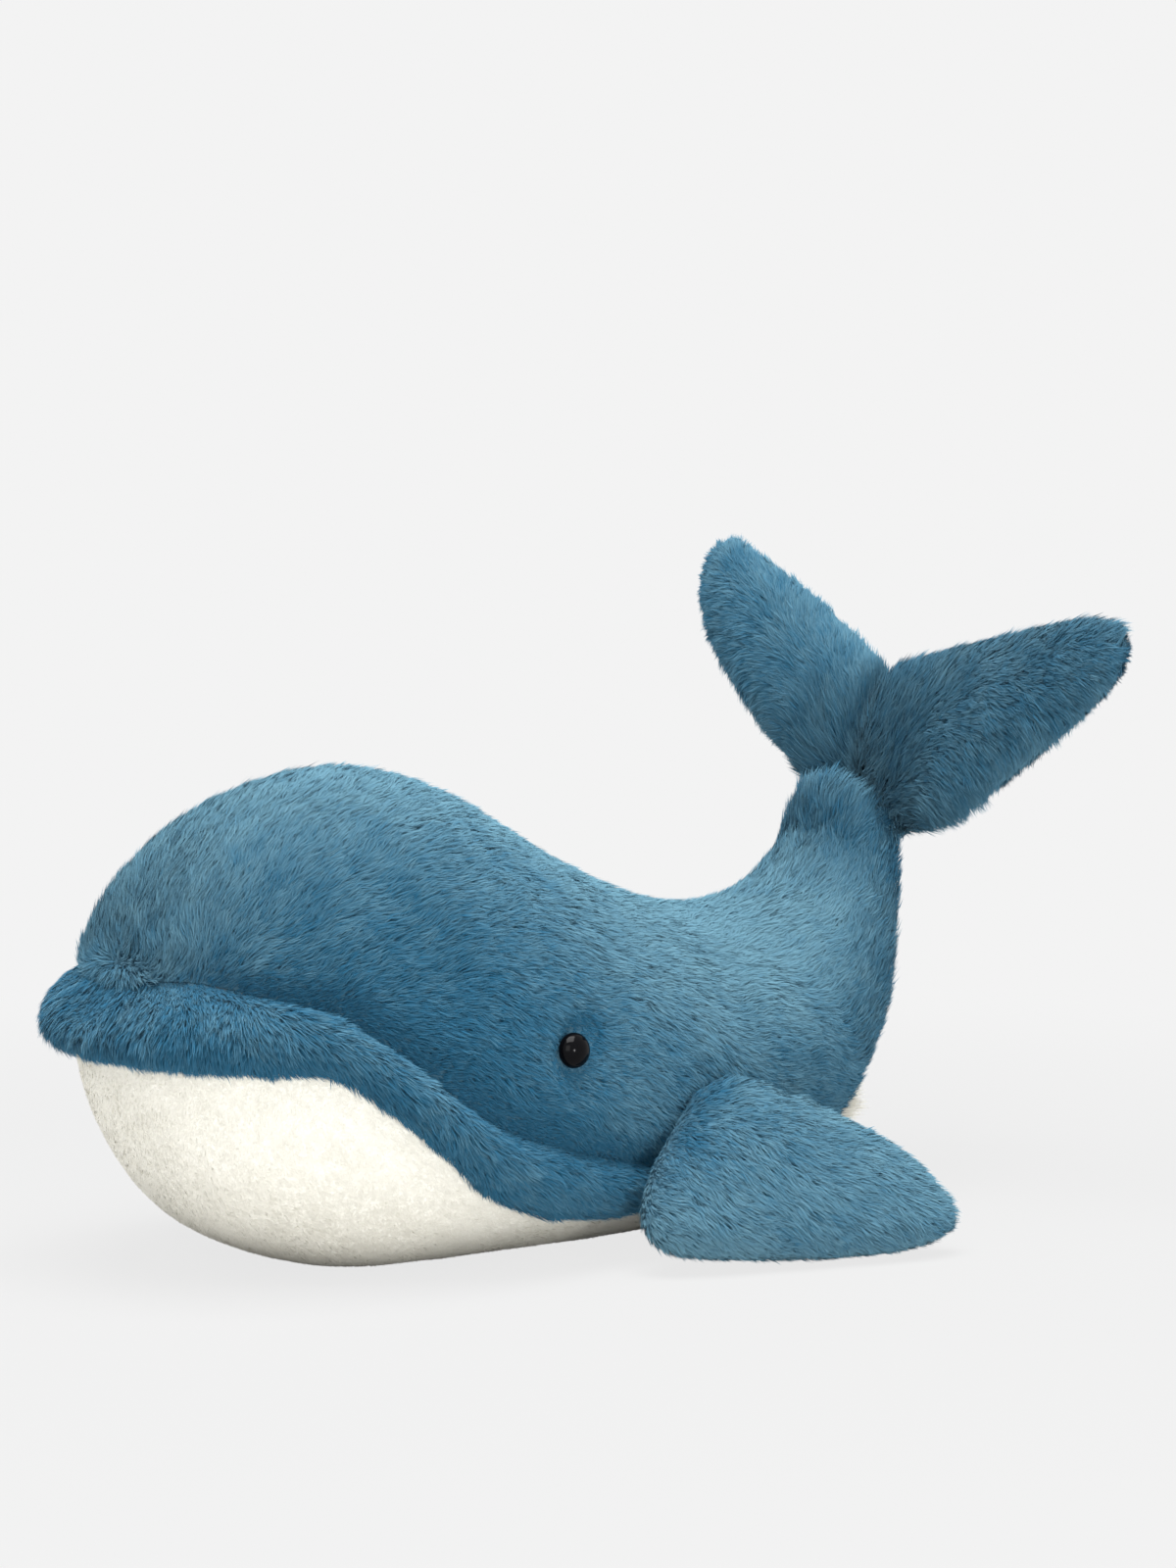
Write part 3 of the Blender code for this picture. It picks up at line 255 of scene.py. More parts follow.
def trunk(u, v, depth=0.0, side_gap=0.0):
    """Middle + arm |cos v|^p up or down, and half |sin v|^p sideways; p is 1 above and the
    corner's share below, and the floor cuts it flat. v is 0 along the back and pi under the belly."""
    u, v = np.broadcast_arrays(np.asarray(u, float), np.asarray(v, float))
    top, middle, bottom, half, corner = trunk_ring(u, depth)
    c, s = np.cos(v), np.sin(v)
    low = c < 0
    power = np.where(low, corner, 1.0)
    arm = np.where(low[..., None], bottom - middle, top - middle)
    point = middle + arm * (np.abs(c) ** power)[..., None]
    y = -half * np.abs(s) ** power * np.sign(s) - side_gap * np.where(s >= 0, 1.0, -1.0)
    return np.stack([point[..., 0] + NOSE_X, y, np.maximum(point[..., 1], max(depth, 0.0))], -1)


def trunk_normal(u, v):
    """The way out: the cross product of the ways round and along the trunk."""
    u = np.clip(np.asarray(u, float), 5 * STEP, 1 - 5 * STEP)
    v = np.clip(np.asarray(v, float), 5 * STEP, math.pi - 5 * STEP)
    along = trunk(u + STEP, v) - trunk(u - STEP, v)
    around = trunk(u, v + STEP) - trunk(u, v - STEP)
    return unit(np.cross(around, along))


def angle_at_height(u, height):
    """The angle at which a ring of the left side has a height, from the trunk's own formula."""
    top, middle, bottom, _, corner = trunk_ring(u)
    up = np.clip((height - middle[..., 1]) / np.maximum(top[..., 1] - middle[..., 1], STEP), 0, 1)
    down = np.clip((middle[..., 1] - height) / np.maximum(middle[..., 1] - bottom[..., 1], STEP), 0, 1)
    return np.where(height >= middle[..., 1], np.arccos(up), math.pi - np.arccos(down ** (1 / corner)))


def crease_angle(u):
    """Where the crease above the lip roll runs."""
    return angle_at_height(u, smooth(CREASE, u) * HEAD_HEIGHT)


def border_angle(u):
    """Where the blue fabric ends and the white begins."""
    return np.maximum(angle_at_height(u, smooth(BORDER, u) * HEAD_HEIGHT), crease_angle(u))


def gap_angle(u, v):
    """Half a seam's gap over the surface's speed round the ring."""
    v = np.clip(v, STEP, math.pi - STEP)
    speed = np.linalg.norm(trunk(u, v + STEP) - trunk(u, v - STEP), axis=-1) / (2 * STEP)
    return SEAM_GAP / 2 / np.maximum(speed, SEAM_GAP)


def soft_bulge(u, v):
    """The lip skin's own roll: the same bulge, fullest below its middle and easing in from the crease."""
    height = trunk(u, v)[..., 2]
    top, low = smooth(CREASE, u) * HEAD_HEIGHT, smooth(BORDER, u) * HEAD_HEIGHT
    across = np.clip((top - height) / np.maximum(top - low, SEAM_GAP), 0, 1)
    lean = 1.0 + 1.2 * np.clip(1 - u * LAST / 4, 0, 1)
    return np.maximum(smooth(BULGE, u), 0) * LIP_BULGE * np.sin(math.pi * across ** lean) ** 0.7


def first_place(test, low, high):
    """The place between low and high where a test turns true, by halving."""
    for _ in range(40):
        middle = (low + high) / 2
        low, high = (low, middle) if test(middle) else (middle, high)
    return high


def joint_place(name):
    """A joint's place in the frame."""
    return np.array(next(joint for joint in frame["joints"] if joint["name"] == name)["pos_m"])


def barrel_exit(v, depth, side_gap=0.0):
    """The place u where the trunk leaves the tail joint's barrel, for each angle, by halving."""
    pivot = joint_place("tail_bend")
    top = trunk(np.linspace(TAIL_FIRST - 1, TAIL_FIRST + 2, 40) / LAST, 0.0)
    radius = np.hypot(top[:, 0] - pivot[0], top[:, 2] - pivot[2]).min() + BARREL_BITE
    half = trunk_ring(TAIL_FIRST / LAST)[3] + BARREL_SIDE

    def inside(points):
        turn = np.hypot(points[..., 0] - pivot[0], points[..., 2] - pivot[2]) / radius
        return turn ** 2 + (points[..., 1] / half) ** 2 < 1

    u = np.linspace(TAIL_FIRST, BARREL_LAST, 160) / LAST
    within = inside(trunk(u[:, None], v[None], depth, side_gap))
    last = np.clip(len(u) - 1 - np.argmax(within[::-1], axis=0), 0, len(u) - 2)
    low, high = u[last], u[last + 1]
    for _ in range(30):
        middle = (low + high) / 2
        now = inside(trunk(middle, v, depth, side_gap))
        low, high = np.where(now, middle, low), np.where(now, high, middle)
    return (low + high) / 2


def leaf(table, u, v, depth):
    """Between two rails: middle + (first - second)/2 cos v flat, and half thickness sin v out."""
    first, second, half = rails(table, u, depth, False)
    middle = (first + second) / 2
    flat = middle + (first - second) / 2 * np.cos(v)[..., None]
    return np.concatenate([flat, (half * np.sin(v))[..., None]], -1)


def leaf_rows(table, rows, columns, depth, sign, side_gap):
    """A leaf's face on a grid: its root edge turned a quarter about the root line, then u to the tip."""
    angles = np.linspace(0, math.pi, columns + 1)
    root = leaf(table, np.zeros_like(angles), angles, depth)
    turn = np.linspace(math.pi / 2, 0, 5)[:-1, None]
    edge = np.stack([np.broadcast_to(root[:, 0], (4, columns + 1)),
                     root[:, 1] - np.abs(root[:, 2]) * np.sin(turn), root[:, 2] * np.cos(turn)], -1)
    u = 1 - (1 - np.linspace(0, 1, rows + 1)) ** 1.3
    u, v = np.meshgrid(u, angles, indexing="ij")
    grid = np.concatenate([edge, leaf(table, u, v, depth)])
    grid[..., 2] = sign * (grid[..., 2] + side_gap)
    return grid


def fluke_frame(hand):
    """A fluke's hinge frame: origin at its joint, then up, away and front."""
    up = np.array([math.sin(FLUKE_LEAN), 0.0, math.cos(FLUKE_LEAN)])
    across = np.array([0.0, 1.0, 0.0])
    up, across = (up * math.cos(FLUKE_ROLL) - across * math.sin(FLUKE_ROLL),
                  across * math.cos(FLUKE_ROLL) + up * math.sin(FLUKE_ROLL))
    c, s = math.cos(FLUKE_TURN), math.sin(FLUKE_TURN)
    spin = np.array([[c, -s, 0], [s, c, 0], [0, 0, 1]])
    up, across = spin @ up, spin @ across
    front = np.cross(up, across)
    front = front if front[0] < 0 else -front
    return joint_place("fluke_" + hand + "_fold"), up, across if hand == "right" else -across, front


def flipper_frame():
    """The left flipper's hinge frame: origin at its joint, then along, away and face."""
    along = np.array([math.cos(FLIPPER_TURN), math.sin(FLIPPER_TURN), 0.0])
    outward = np.array([math.sin(FLIPPER_TURN), -math.cos(FLIPPER_TURN), 0.0])
    away = outward * math.sin(FLIPPER_SPLAY) - np.array([0, 0, math.cos(FLIPPER_SPLAY)])
    face = np.cross(along, away)
    return joint_place("flipper_left_lift"), along, away, face if face[2] > 0 else -face


# ---------------------------------------------------------------- grids, noise and the comb
def panel_grid(edges, start, end, rows, columns, depth, side_gap, crowd=1.0, bulge=False):
    """A panel of the trunk on a grid: u from start to end, v between the two edges at u.

    A start or end that isn't given is the rim of the tail joint's barrel, found in eight rounds.
    """
    share = np.linspace(0, 1, columns + 1)[None]
    t = np.linspace(0, 1, rows + 1)[:, None] ** crowd
    if end is None or start is None:
        low, high = edges(np.full(columns + 1, TAIL_FIRST / LAST))
        for _ in range(8):
            rim = barrel_exit(low + (high - low) * share[0], depth, side_gap)
            low, high = edges(rim)
        start, end = (rim, end) if start is None else (start, rim)
    u = start + (end - start) * t + 0 * share
    low, high = edges(u)
    v = low + (high - low) * share
    points = trunk(u, v, depth, side_gap)
    if bulge:
        points = points + soft_bulge(u, v)[..., None] * trunk_normal(u, v)
    return points


def panel_pair(edges, start, end, rows, columns, side_gap, crowd):
    """A panel's outer and inner grid."""
    return [panel_grid(edges, start, end, rows, columns, depth, side_gap, crowd) for depth in (0.0, SKIN)]


def vector_areas(grid):
    """Half the cross product of each cell's diagonals."""
    return np.cross(grid[1:, 1:] - grid[:-1, :-1], grid[:-1, 1:] - grid[1:, :-1]) / 2


def corner_normals(grid, toward):
    """The sum of the vector areas of the cells that meet at each corner, made to face a way."""
    areas = np.pad(vector_areas(grid), ((1, 1), (1, 1), (0, 0)))
    total = areas[1:, 1:] + areas[:-1, 1:] + areas[1:, :-1] + areas[:-1, :-1]
    if (total @ np.asarray(toward)).sum() < 0:
        total = -total
    return unit(total)


def waves(points, table):
    """A smooth noise, summed from a table: each row is the mean of twelve sine waves of random ways
    and phases, with a height, a wavelength and a seed of its own."""
    total = 0.0
    for height, wavelength, seed in table:
        rng = np.random.default_rng(seed)
        ways = unit(rng.normal(size=(12, 3))) * 2 * math.pi / wavelength * rng.uniform(0.6, 1.5, (12, 1))
        total = total + height * np.sin(points @ ways.T + rng.uniform(0, 2 * math.pi, 12)).sum(-1) / 4.2
    return total


def comb_from(table, points):
    """The comb's way at each point: the table's ways weighted by 1 / (distance^2 + 100)^2."""
    place = points[..., [0, 2]] / MM
    distance = ((place[..., None, :] - table[:, :2]) ** 2).sum(-1)
    weight = 1 / (distance + 100) ** 2
    turn = np.radians(table[:, 2])
    x, z = (weight * np.cos(turn)).sum(-1), (weight * np.sin(turn)).sum(-1)
    return unit(np.stack([x, 0 * x, z], -1))


def flat_to(vectors, normals):
    """Vectors less their part along the normals, made one long."""
    return unit(vectors - (vectors * normals).sum(-1, keepdims=True) * normals)


def turned(vectors, normals, angle):
    """Tangent vectors turned about the normals by an angle."""
    return vectors * np.cos(angle)[..., None] + np.cross(normals, vectors) * np.sin(angle)[..., None]


class Sheet:
    """A panel's outer grid, with the pile's way, length, tone and lift at each corner."""

    def __init__(self, grid, toward, comb, length, tone, lift):
        self.grid, self.normal = grid, corner_normals(grid, toward)
        self.comb = turned(flat_to(comb, self.normal), self.normal, waves(grid, SWIRL_WAVES))
        self.length = length * (1 + waves(grid, LENGTH_WAVES))
        self.tone = tone + waves(grid, TONE_WAVES)
        self.lift = np.broadcast_to(lift, grid.shape[:2])

    def mirrored(self):
        """The same sheet on the other side."""
        other = object.__new__(Sheet)
        other.grid, other.normal, other.comb = self.grid * MIRROR, self.normal * MIRROR, self.comb * MIRROR
        other.length, other.tone, other.lift = self.length, self.tone, self.lift
        return other

    def scatter(self, per_area, rng):
        """Places spread evenly by area, each with the sheet's values mixed from its cell's corners."""
        area = np.linalg.norm(vector_areas(self.grid), axis=-1)
        reach = np.cumsum(area.ravel())
        count = int(reach[-1] * per_area)
        pick = (np.arange(count) + rng.random(count)) / count * reach[-1]
        cell = np.minimum(np.searchsorted(reach, pick), area.size - 1)
        i, j = np.unravel_index(cell, area.shape)
        s, t = rng.random(count)[:, None], rng.random(count)[:, None]

        def mix(field):
            field = field if field.ndim == 3 else field[..., None]
            return ((1 - s) * (1 - t) * field[i, j] + s * (1 - t) * field[i + 1, j]
                    + (1 - s) * t * field[i, j + 1] + s * t * field[i + 1, j + 1])

        normal = unit(mix(self.normal))
        return (mix(self.grid), normal, flat_to(mix(self.comb), normal),
                mix(self.length)[:, 0], mix(self.tone)[:, 0], mix(self.lift)[:, 0])


# ---------------------------------------------------------------- meshes
def new_object(name, mesh, material):
    """A mesh made into an object with its material."""
    mesh.materials.append(material)
    piece = bpy.data.objects.new(name, mesh)
    bpy.context.collection.objects.link(piece)
    return piece


def grid_quads(rows, columns, first=0, turned_over=False):
    """The four corners of each cell of a grid of numbered points."""
    n = np.arange(rows * columns).reshape(rows, columns) + first
    quads = np.stack([n[:-1, :-1], n[:-1, 1:], n[1:, 1:], n[1:, :-1]], -1).reshape(-1, 4)
    return quads[:, ::-1] if turned_over else quads


def shell_object(name, outer, inner, material):
    """A closed skin: an outer and an inner grid, and walls round their four edges."""
    rows, columns = outer.shape[:2]
    n = np.arange(rows * columns).reshape(rows, columns)
    rim = np.concatenate([n[0, :-1], n[:-1, -1], n[-1, :0:-1], n[:0:-1, 0]])
    after = np.roll(rim, -1)
    back = rows * columns
    walls = np.stack([after, rim, rim + back, after + back], -1)
    quads = np.concatenate([grid_quads(rows, columns), grid_quads(rows, columns, back, True), walls])
    return closed_object(name, np.concatenate([outer.reshape(-1, 3), inner.reshape(-1, 3)]), quads, material)


def closed_object(name, points, faces, material):
    """A closed mesh with its doubles merged, smooth shaded and facing outwards."""
    mesh = bpy.data.meshes.new(name)
    mesh.from_pydata(points, [], faces)
    work = bmesh.new()
    work.from_mesh(mesh)
    bmesh.ops.remove_doubles(work, verts=work.verts, dist=1e-6)
    bmesh.ops.dissolve_degenerate(work, edges=work.edges, dist=1e-7)
    if work.calc_volume(signed=True) < 0:
        bmesh.ops.reverse_faces(work, faces=work.faces)
    work.to_mesh(mesh)
    work.free()
    mesh.shade_smooth()
    return new_object(name, mesh, material)


def lathe(profile, origin, way, around):
    """A profile of (radius, place along the axis) carried round an axis."""
    way = unit(np.asarray(way, float))
    side = unit(np.cross(way, [0.0, 0.0, 1.0]))
    other = np.cross(way, side)
    angle = np.linspace(0, 2 * math.pi, around + 1)
    circle = np.cos(angle)[:, None] * side + np.sin(angle)[:, None] * other
    profile = np.asarray(profile)
    return origin + circle[None] * profile[:, 0][:, None, None] + way * profile[:, 1][:, None, None]


def grow(places, blades, width, pull, rng):
    """Every blade's root, middle, tip, half width, cloth normal and tone.

    Middle = root + length (0.40 lift normal + 0.28 comb) and tip = middle + length (0.16 lift normal
    + 0.52 comb). Then both are drawn to their tuft's own middle and tip.
    """
    centre, normal, comb, length, tone, lift = places
    tufts = len(centre)
    comb = turned(comb, normal, rng.normal(0, TUFT_TURN, tufts))
    length = length * rng.uniform(*TUFT_LENGTH, tufts)
    tone = tone + rng.normal(0, TUFT_TONE, tufts)
    centre, normal, comb, length, tone, lift = [
        np.repeat(a, blades, axis=0) for a in (centre, normal, comb, length, tone, lift)]
    count = len(centre)
    side = np.cross(normal, comb)
    spread = (width * TUFT_RADIUS) * np.sqrt(rng.random(count))[:, None]
    turn = rng.uniform(0, 2 * math.pi, count)[:, None]
    root = centre + spread * (comb * np.cos(turn) + side * np.sin(turn)) - normal * ROOT_DEPTH
    way = unit(comb + side * rng.normal(0, BLADE_SIDE, count)[:, None]
               + normal * rng.normal(0, BLADE_TILT, count)[:, None])
    long = (length * rng.uniform(*BLADE_LENGTH, count))[:, None]
    rise = (lift * rng.uniform(*BLADE_RISE, count))[:, None]
    length, lift = length[:, None], lift[:, None]
    middle = root + long * (MIDDLE_UP * rise * normal + MIDDLE_ON * way)
    tip = middle + long * (TIP_UP * rise * normal + TIP_ON * way)
    tuft = centre + length * (TUFT_UP * lift * normal + TUFT_ON * comb)
    waist = centre + length * (MIDDLE_UP * lift * normal + MIDDLE_ON * comb)
    middle = middle + MIDDLE_PULL * pull * (waist - middle)
    tip = tip + pull * (tuft - tip)
    axis = unit(tip - root)
    flat = unit(np.cross(axis, normal))
    out = np.cross(flat, axis)
    out = out * np.where((out * normal).sum(-1, keepdims=True) < 0, -1, 1)
    twist = rng.normal(0, BLADE_TWIST, count)[:, None]
    half = (flat * np.cos(twist) + out * np.sin(twist)) * (width / 2)
    half = half * rng.uniform(*BLADE_WIDTH, count)[:, None]
    return root, middle, tip, half, normal, np.clip(tone + rng.normal(0, BLADE_TONE, count), 0.03, 0.97)


def fur_object(name, places, blades, width, pull, seed, material, whole, even):
    """A mesh of blades. The map's u is the tone and its v goes from the root to the tip.

    Shading normal = own normal (1 - even) + the cloth's normal even.
    """
    root, middle, tip, half, normal, shade = grow(places, blades, width, pull, np.random.default_rng(seed))
    if whole:
        points = np.stack([root, middle - half, middle + half, tip], 1)
    else:
        points = np.stack([root - half, root + half, tip], 1)
    corners, starts, map_u, map_v, swap = map(np.array, WHOLE_BLADE if whole else PLAIN_BLADE)
    points[..., 2] = np.maximum(points[..., 2], LOWEST)
    count, size = points.shape[:2]

    def facing():
        first = points[:, corners[:3]]
        return np.cross(first[:, 1] - first[:, 0], first[:, 2] - first[:, 0])

    wrong = (facing() * normal).sum(-1) < 0
    points[wrong] = points[wrong][:, swap]
    mesh = bpy.data.meshes.new(name)
    mesh.vertices.add(count * size)
    mesh.vertices.foreach_set("co", points.astype(np.float32).ravel())
    loops = (np.arange(count)[:, None] * size + corners).ravel()
    mesh.loops.add(len(loops))
    mesh.loops.foreach_set("vertex_index", loops.astype(np.int32))
    begin = (np.arange(count)[:, None] * len(corners) + starts).ravel()
    mesh.polygons.add(len(begin))
    mesh.polygons.foreach_set("loop_start", begin.astype(np.int32))
    mesh.update(calc_edges=True)
    layer = mesh.uv_layers.new(name="OFBake")
    spots = np.stack(np.broadcast_arrays(shade[:, None] + MAP_SPREAD * map_u, map_v.astype(float)), -1)
    layer.data.foreach_set("uv", np.ascontiguousarray(spots, dtype=np.float32).ravel())
    mesh.shade_smooth()
    leaning = unit((1 - even) * unit(facing()) + even * normal)
    mesh.normals_split_custom_set_from_vertices(np.repeat(leaning, size, axis=0).tolist())
    return new_object(name, mesh, material)


# ---------------------------------------------------------------- materials
def new_group(name, inputs, outputs):
    """A shader node group with named sockets of colours and floats."""
    group = bpy.data.node_groups.new(name, "ShaderNodeTree")
    for label, kind, value in inputs:
        socket = group.interface.new_socket(name=label, in_out="INPUT", socket_type=kind)
        socket.default_value = value
    for label, kind in outputs:
        group.interface.new_socket(name=label, in_out="OUTPUT", socket_type=kind)
    return group, group.nodes.new("NodeGroupInput"), group.nodes.new("NodeGroupOutput")


def feed(tree, made, values):
    """Gives a node's inputs their values, and links those whose value is a socket."""
    for key, value in values.items():
        if isinstance(value, bpy.types.NodeSocket):
            tree.links.new(value, made.inputs[key])
        else:
            made.inputs[key].default_value = value
    return made


def node(tree, kind, inputs=None, **settings):
    """A node with its settings, and its inputs given as values or as sockets to link."""
    made = tree.nodes.new(kind)
    for key, value in settings.items():
        setattr(made, key, value)
    return feed(tree, made, inputs or {})


def mix_colours(tree, share, first, second):
    """Two colours mixed by the second one's share."""
    return node(tree, "ShaderNodeMix", {0: share, 6: first, 7: second}, data_type="RGBA").outputs[2]


def ramp(tree, value, low, high, start=0.0, end=1.0, **settings):
    """A value between start and end carried to between low and high."""
    return node(tree, "ShaderNodeMapRange", {"Value": value, "From Min": start, "From Max": end,
                                             "To Min": low, "To Max": high}, **settings).outputs[0]


def pile_group():
    """Pile: the colour goes from root to tip along a blade, and from deep to pale with its tone. The darker
    root is painted shade among the blades, and the paler tip, more of it where the tone is high, is painted
    sheen.
    """
    if "pile_colour" in bpy.data.node_groups:
        return bpy.data.node_groups["pile_colour"]
    group, into, out = new_group("pile_colour", [
        ("Tone", "NodeSocketFloat", 0.5), ("Along", "NodeSocketFloat", 0.5),
        ("Root", "NodeSocketColor", (0.02, 0.05, 0.08, 1)), ("Deep", "NodeSocketColor", (0.05, 0.13, 0.2, 1)),
        ("Pale", "NodeSocketColor", (0.13, 0.29, 0.4, 1)), ("Tip", "NodeSocketColor", (0.2, 0.4, 0.5, 1))],
        [("Color", "NodeSocketColor"), ("Roughness", "NodeSocketFloat")])
    tone, along, root, deep, pale, tip = into.outputs[:6]
    body = mix_colours(group, tone, deep, pale)
    climb = ramp(group, along, 0.0, 1.0, 0.0, 0.5, interpolation_type="SMOOTHSTEP")
    end = ramp(group, along, 0.0, 0.55, 0.55, 1.0)
    # Painted shade: the darker root colour mixed in near the root.
    start = mix_colours(group, 0.5, root, body)
    # Painted sheen: the paler tip colour mixed in near the tip, more where the tone is high.
    share = node(group, "ShaderNodeMath", {0: end, 1: ramp(group, tone, 0.35, 1.05)}, operation="MULTIPLY")
    body = mix_colours(group, share.outputs[0], body, tip)
    feed(group, out, {"Color": mix_colours(group, climb, start, body),
                      "Roughness": ramp(group, along, 1.0, 0.82)})
    return group


def cloth_group():
    """Cloth grain: fine knit cells and a slow mottle over the object's own coordinates."""
    if "cloth_grain" in bpy.data.node_groups:
        return bpy.data.node_groups["cloth_grain"]
    group, into, out = new_group("cloth_grain", [
        ("Scale", "NodeSocketFloat", 900.0), ("Mottle", "NodeSocketFloat", 70.0)],
        [("Height", "NodeSocketFloat"), ("Mask", "NodeSocketFloat")])
    scale, mottle = into.outputs[:2]
    place = node(group, "ShaderNodeTexCoord").outputs["Object"]
    cells = node(group, "ShaderNodeTexVoronoi", {"Vector": place, "Scale": scale})
    fine = node(group, "ShaderNodeTexNoise", {"Vector": place, "Scale": scale, "Detail": 4.0})
    slow = node(group, "ShaderNodeTexNoise", {"Vector": place, "Scale": mottle, "Detail": 3.0})
    height = node(group, "ShaderNodeMath", {0: cells.outputs["Distance"], 1: fine.outputs[0]},
                  operation="ADD")
    feed(group, out, {"Height": height.outputs[0], "Mask": slow.outputs[0]})
    return group


def base_material(name):
    """A new material with its node tree and its Principled node."""
    material = bpy.data.materials.new(name)
    material.use_nodes = True
    return material, material.node_tree, material.node_tree.nodes["Principled BSDF"]


def place_group(tree, group, values):
    """A node group placed with its own values."""
    return node(tree, "ShaderNodeGroup", values, node_tree=group)


def settings_colours(pile, *parts):
    """A pile's colours by part, from the settings, made opaque."""
    colours = bpy.context.scene.plush_colours
    return [(*getattr(colours, pile + "_" + part), 1.0) for part in parts]


def pile_material(pile):
    """The blades: everything comes from the map, u for the tone and v along the blade."""
    name = pile + "_pile"
    if name in bpy.data.materials:
        return bpy.data.materials[name]
    material, tree, shader = base_material(name)
    root, deep, pale, tip = settings_colours(pile, "root", "deep", "pale", "tip")
    spot = node(tree, "ShaderNodeUVMap", uv_map="OFBake")
    split = node(tree, "ShaderNodeSeparateXYZ", {0: spot.outputs[0]})
    fur = place_group(tree, pile_group(), {"Tone": split.outputs[0], "Along": split.outputs[1],
                                           "Root": root, "Deep": deep, "Pale": pale, "Tip": tip})
    tint = tuple(0.12 + 0.88 * c / max(tip[:3]) for c in tip[:3]) + (1.0,)
    feed(tree, shader, {"Base Color": fur.outputs["Color"], "Roughness": fur.outputs["Roughness"],
                        "Specular IOR Level": 0.03, "Sheen Weight": SHEEN[pile], "Sheen Tint": tint,
                        "Sheen Roughness": 0.5})
    return material


def backing_material(pile):
    """The cloth under the pile: the pile's colours near their roots, mottled, with a knit grain."""
    name = pile + "_backing"
    if name in bpy.data.materials:
        return bpy.data.materials[name]
    material, tree, shader = base_material(name)
    root, deep, pale = settings_colours(pile, "root", "deep", "pale")
    grain = place_group(tree, cloth_group(), {"Scale": 1100.0, "Mottle": 120.0})
    fur = place_group(tree, pile_group(), {"Tone": grain.outputs["Mask"], "Along": CLOTH_ALONG[pile],
                                           "Root": root, "Deep": deep, "Pale": pale, "Tip": pale})
    bump = node(tree, "ShaderNodeBump", {"Strength": 0.6, "Distance": 0.0006,
                                         "Height": grain.outputs["Height"]})
    feed(tree, shader, {"Base Color": fur.outputs["Color"], "Roughness": fur.outputs["Roughness"],
                        "Normal": bump.outputs[0], "Specular IOR Level": 0.2})
    return material


def plain_material(name, first, second, rough, grain_scale, bump_height):
    """A hidden or hard piece: two near colours mottled together, with a grain of its own."""
    if name in bpy.data.materials:
        return bpy.data.materials[name]
    material, tree, shader = base_material(name)
    grain = place_group(tree, cloth_group(), {"Scale": grain_scale, "Mottle": grain_scale / 8})
    mask, height = grain.outputs["Mask"], grain.outputs["Height"]
    bump = node(tree, "ShaderNodeBump", {"Strength": 0.5, "Distance": bump_height, "Height": height})
    feed(tree, shader, {"Base Color": mix_colours(tree, mask, first, second),
                        "Roughness": ramp(tree, mask, rough * 0.85, min(1.0, rough * 1.15)),
                        "Normal": bump.outputs[0]})
    return material


# ---------------------------------------------------------------- settings
class PlushColours(bpy.types.PropertyGroup):
    """Colours of the pile, root to tip and deep to pale. The darker roots are painted shade among the blades,
    the paler tips painted sheen, and the white's deep colour the painted shade low on the belly.
    """

    blue_root: bpy.props.FloatVectorProperty(
        name="Blue root", description="Blue pile at its root", subtype="COLOR", size=3,
        min=0, max=1, default=(0.018, 0.080, 0.138))
    blue_deep: bpy.props.FloatVectorProperty(
        name="Blue deep", description="Darkest tufts of the blue pile", subtype="COLOR", size=3,
        min=0, max=1, default=(0.016, 0.098, 0.180))
    blue_pale: bpy.props.FloatVectorProperty(
        name="Blue pale", description="Palest tufts of the blue pile", subtype="COLOR", size=3,
        min=0, max=1, default=(0.118, 0.240, 0.308))
    blue_tip: bpy.props.FloatVectorProperty(
        name="Blue tip", description="Blue pile at its very tip", subtype="COLOR", size=3,
        min=0, max=1, default=(0.148, 0.308, 0.390))
    white_root: bpy.props.FloatVectorProperty(
        name="White root", description="White pile at its root", subtype="COLOR", size=3,
        min=0, max=1, default=(0.77, 0.74, 0.655))
    white_deep: bpy.props.FloatVectorProperty(
        name="White deep", description="Darkest tufts of the white pile", subtype="COLOR", size=3,
        min=0, max=1, default=(0.77, 0.745, 0.66))
    white_pale: bpy.props.FloatVectorProperty(
        name="White pale", description="Palest tufts of the white pile", subtype="COLOR", size=3,
        min=0, max=1, default=(0.975, 0.955, 0.875))
    white_tip: bpy.props.FloatVectorProperty(
        name="White tip", description="White pile at its very tip", subtype="COLOR", size=3,
        min=0, max=1, default=(0.97, 0.95, 0.87))
    bead: bpy.props.FloatVectorProperty(
        name="Bead", description="Black of the bead eyes", subtype="COLOR", size=3,
        min=0, max=1, default=(0.0015, 0.0015, 0.002))


class PlushPile(bpy.types.PropertyGroup):
    """Sizes of the pile."""

    blue_length: bpy.props.FloatProperty(
        name="Blue length", description="Length of the blue pile on the back", unit="LENGTH",
        default=0.0052, min=0.001)
    white_length: bpy.props.FloatProperty(
        name="White length", description="Length of the white pile", unit="LENGTH",
        default=0.0019, min=0.0005)
    blade_width: bpy.props.FloatProperty(
        name="Blade width", description="Width of one blade of pile", unit="LENGTH",
        default=0.00031, min=0.0001)
    blue_density: bpy.props.FloatProperty(
        name="Blue density", description="Blades of blue pile on a square millimetre",
        default=7.0, min=0.1)
    white_density: bpy.props.FloatProperty(
        name="White density", description="Blades of white pile on a square millimetre",
        default=7.0, min=0.1)
    most: bpy.props.IntProperty(
        name="Most triangles", description="Most triangles in one band of fur",
        default=180000, min=1000)


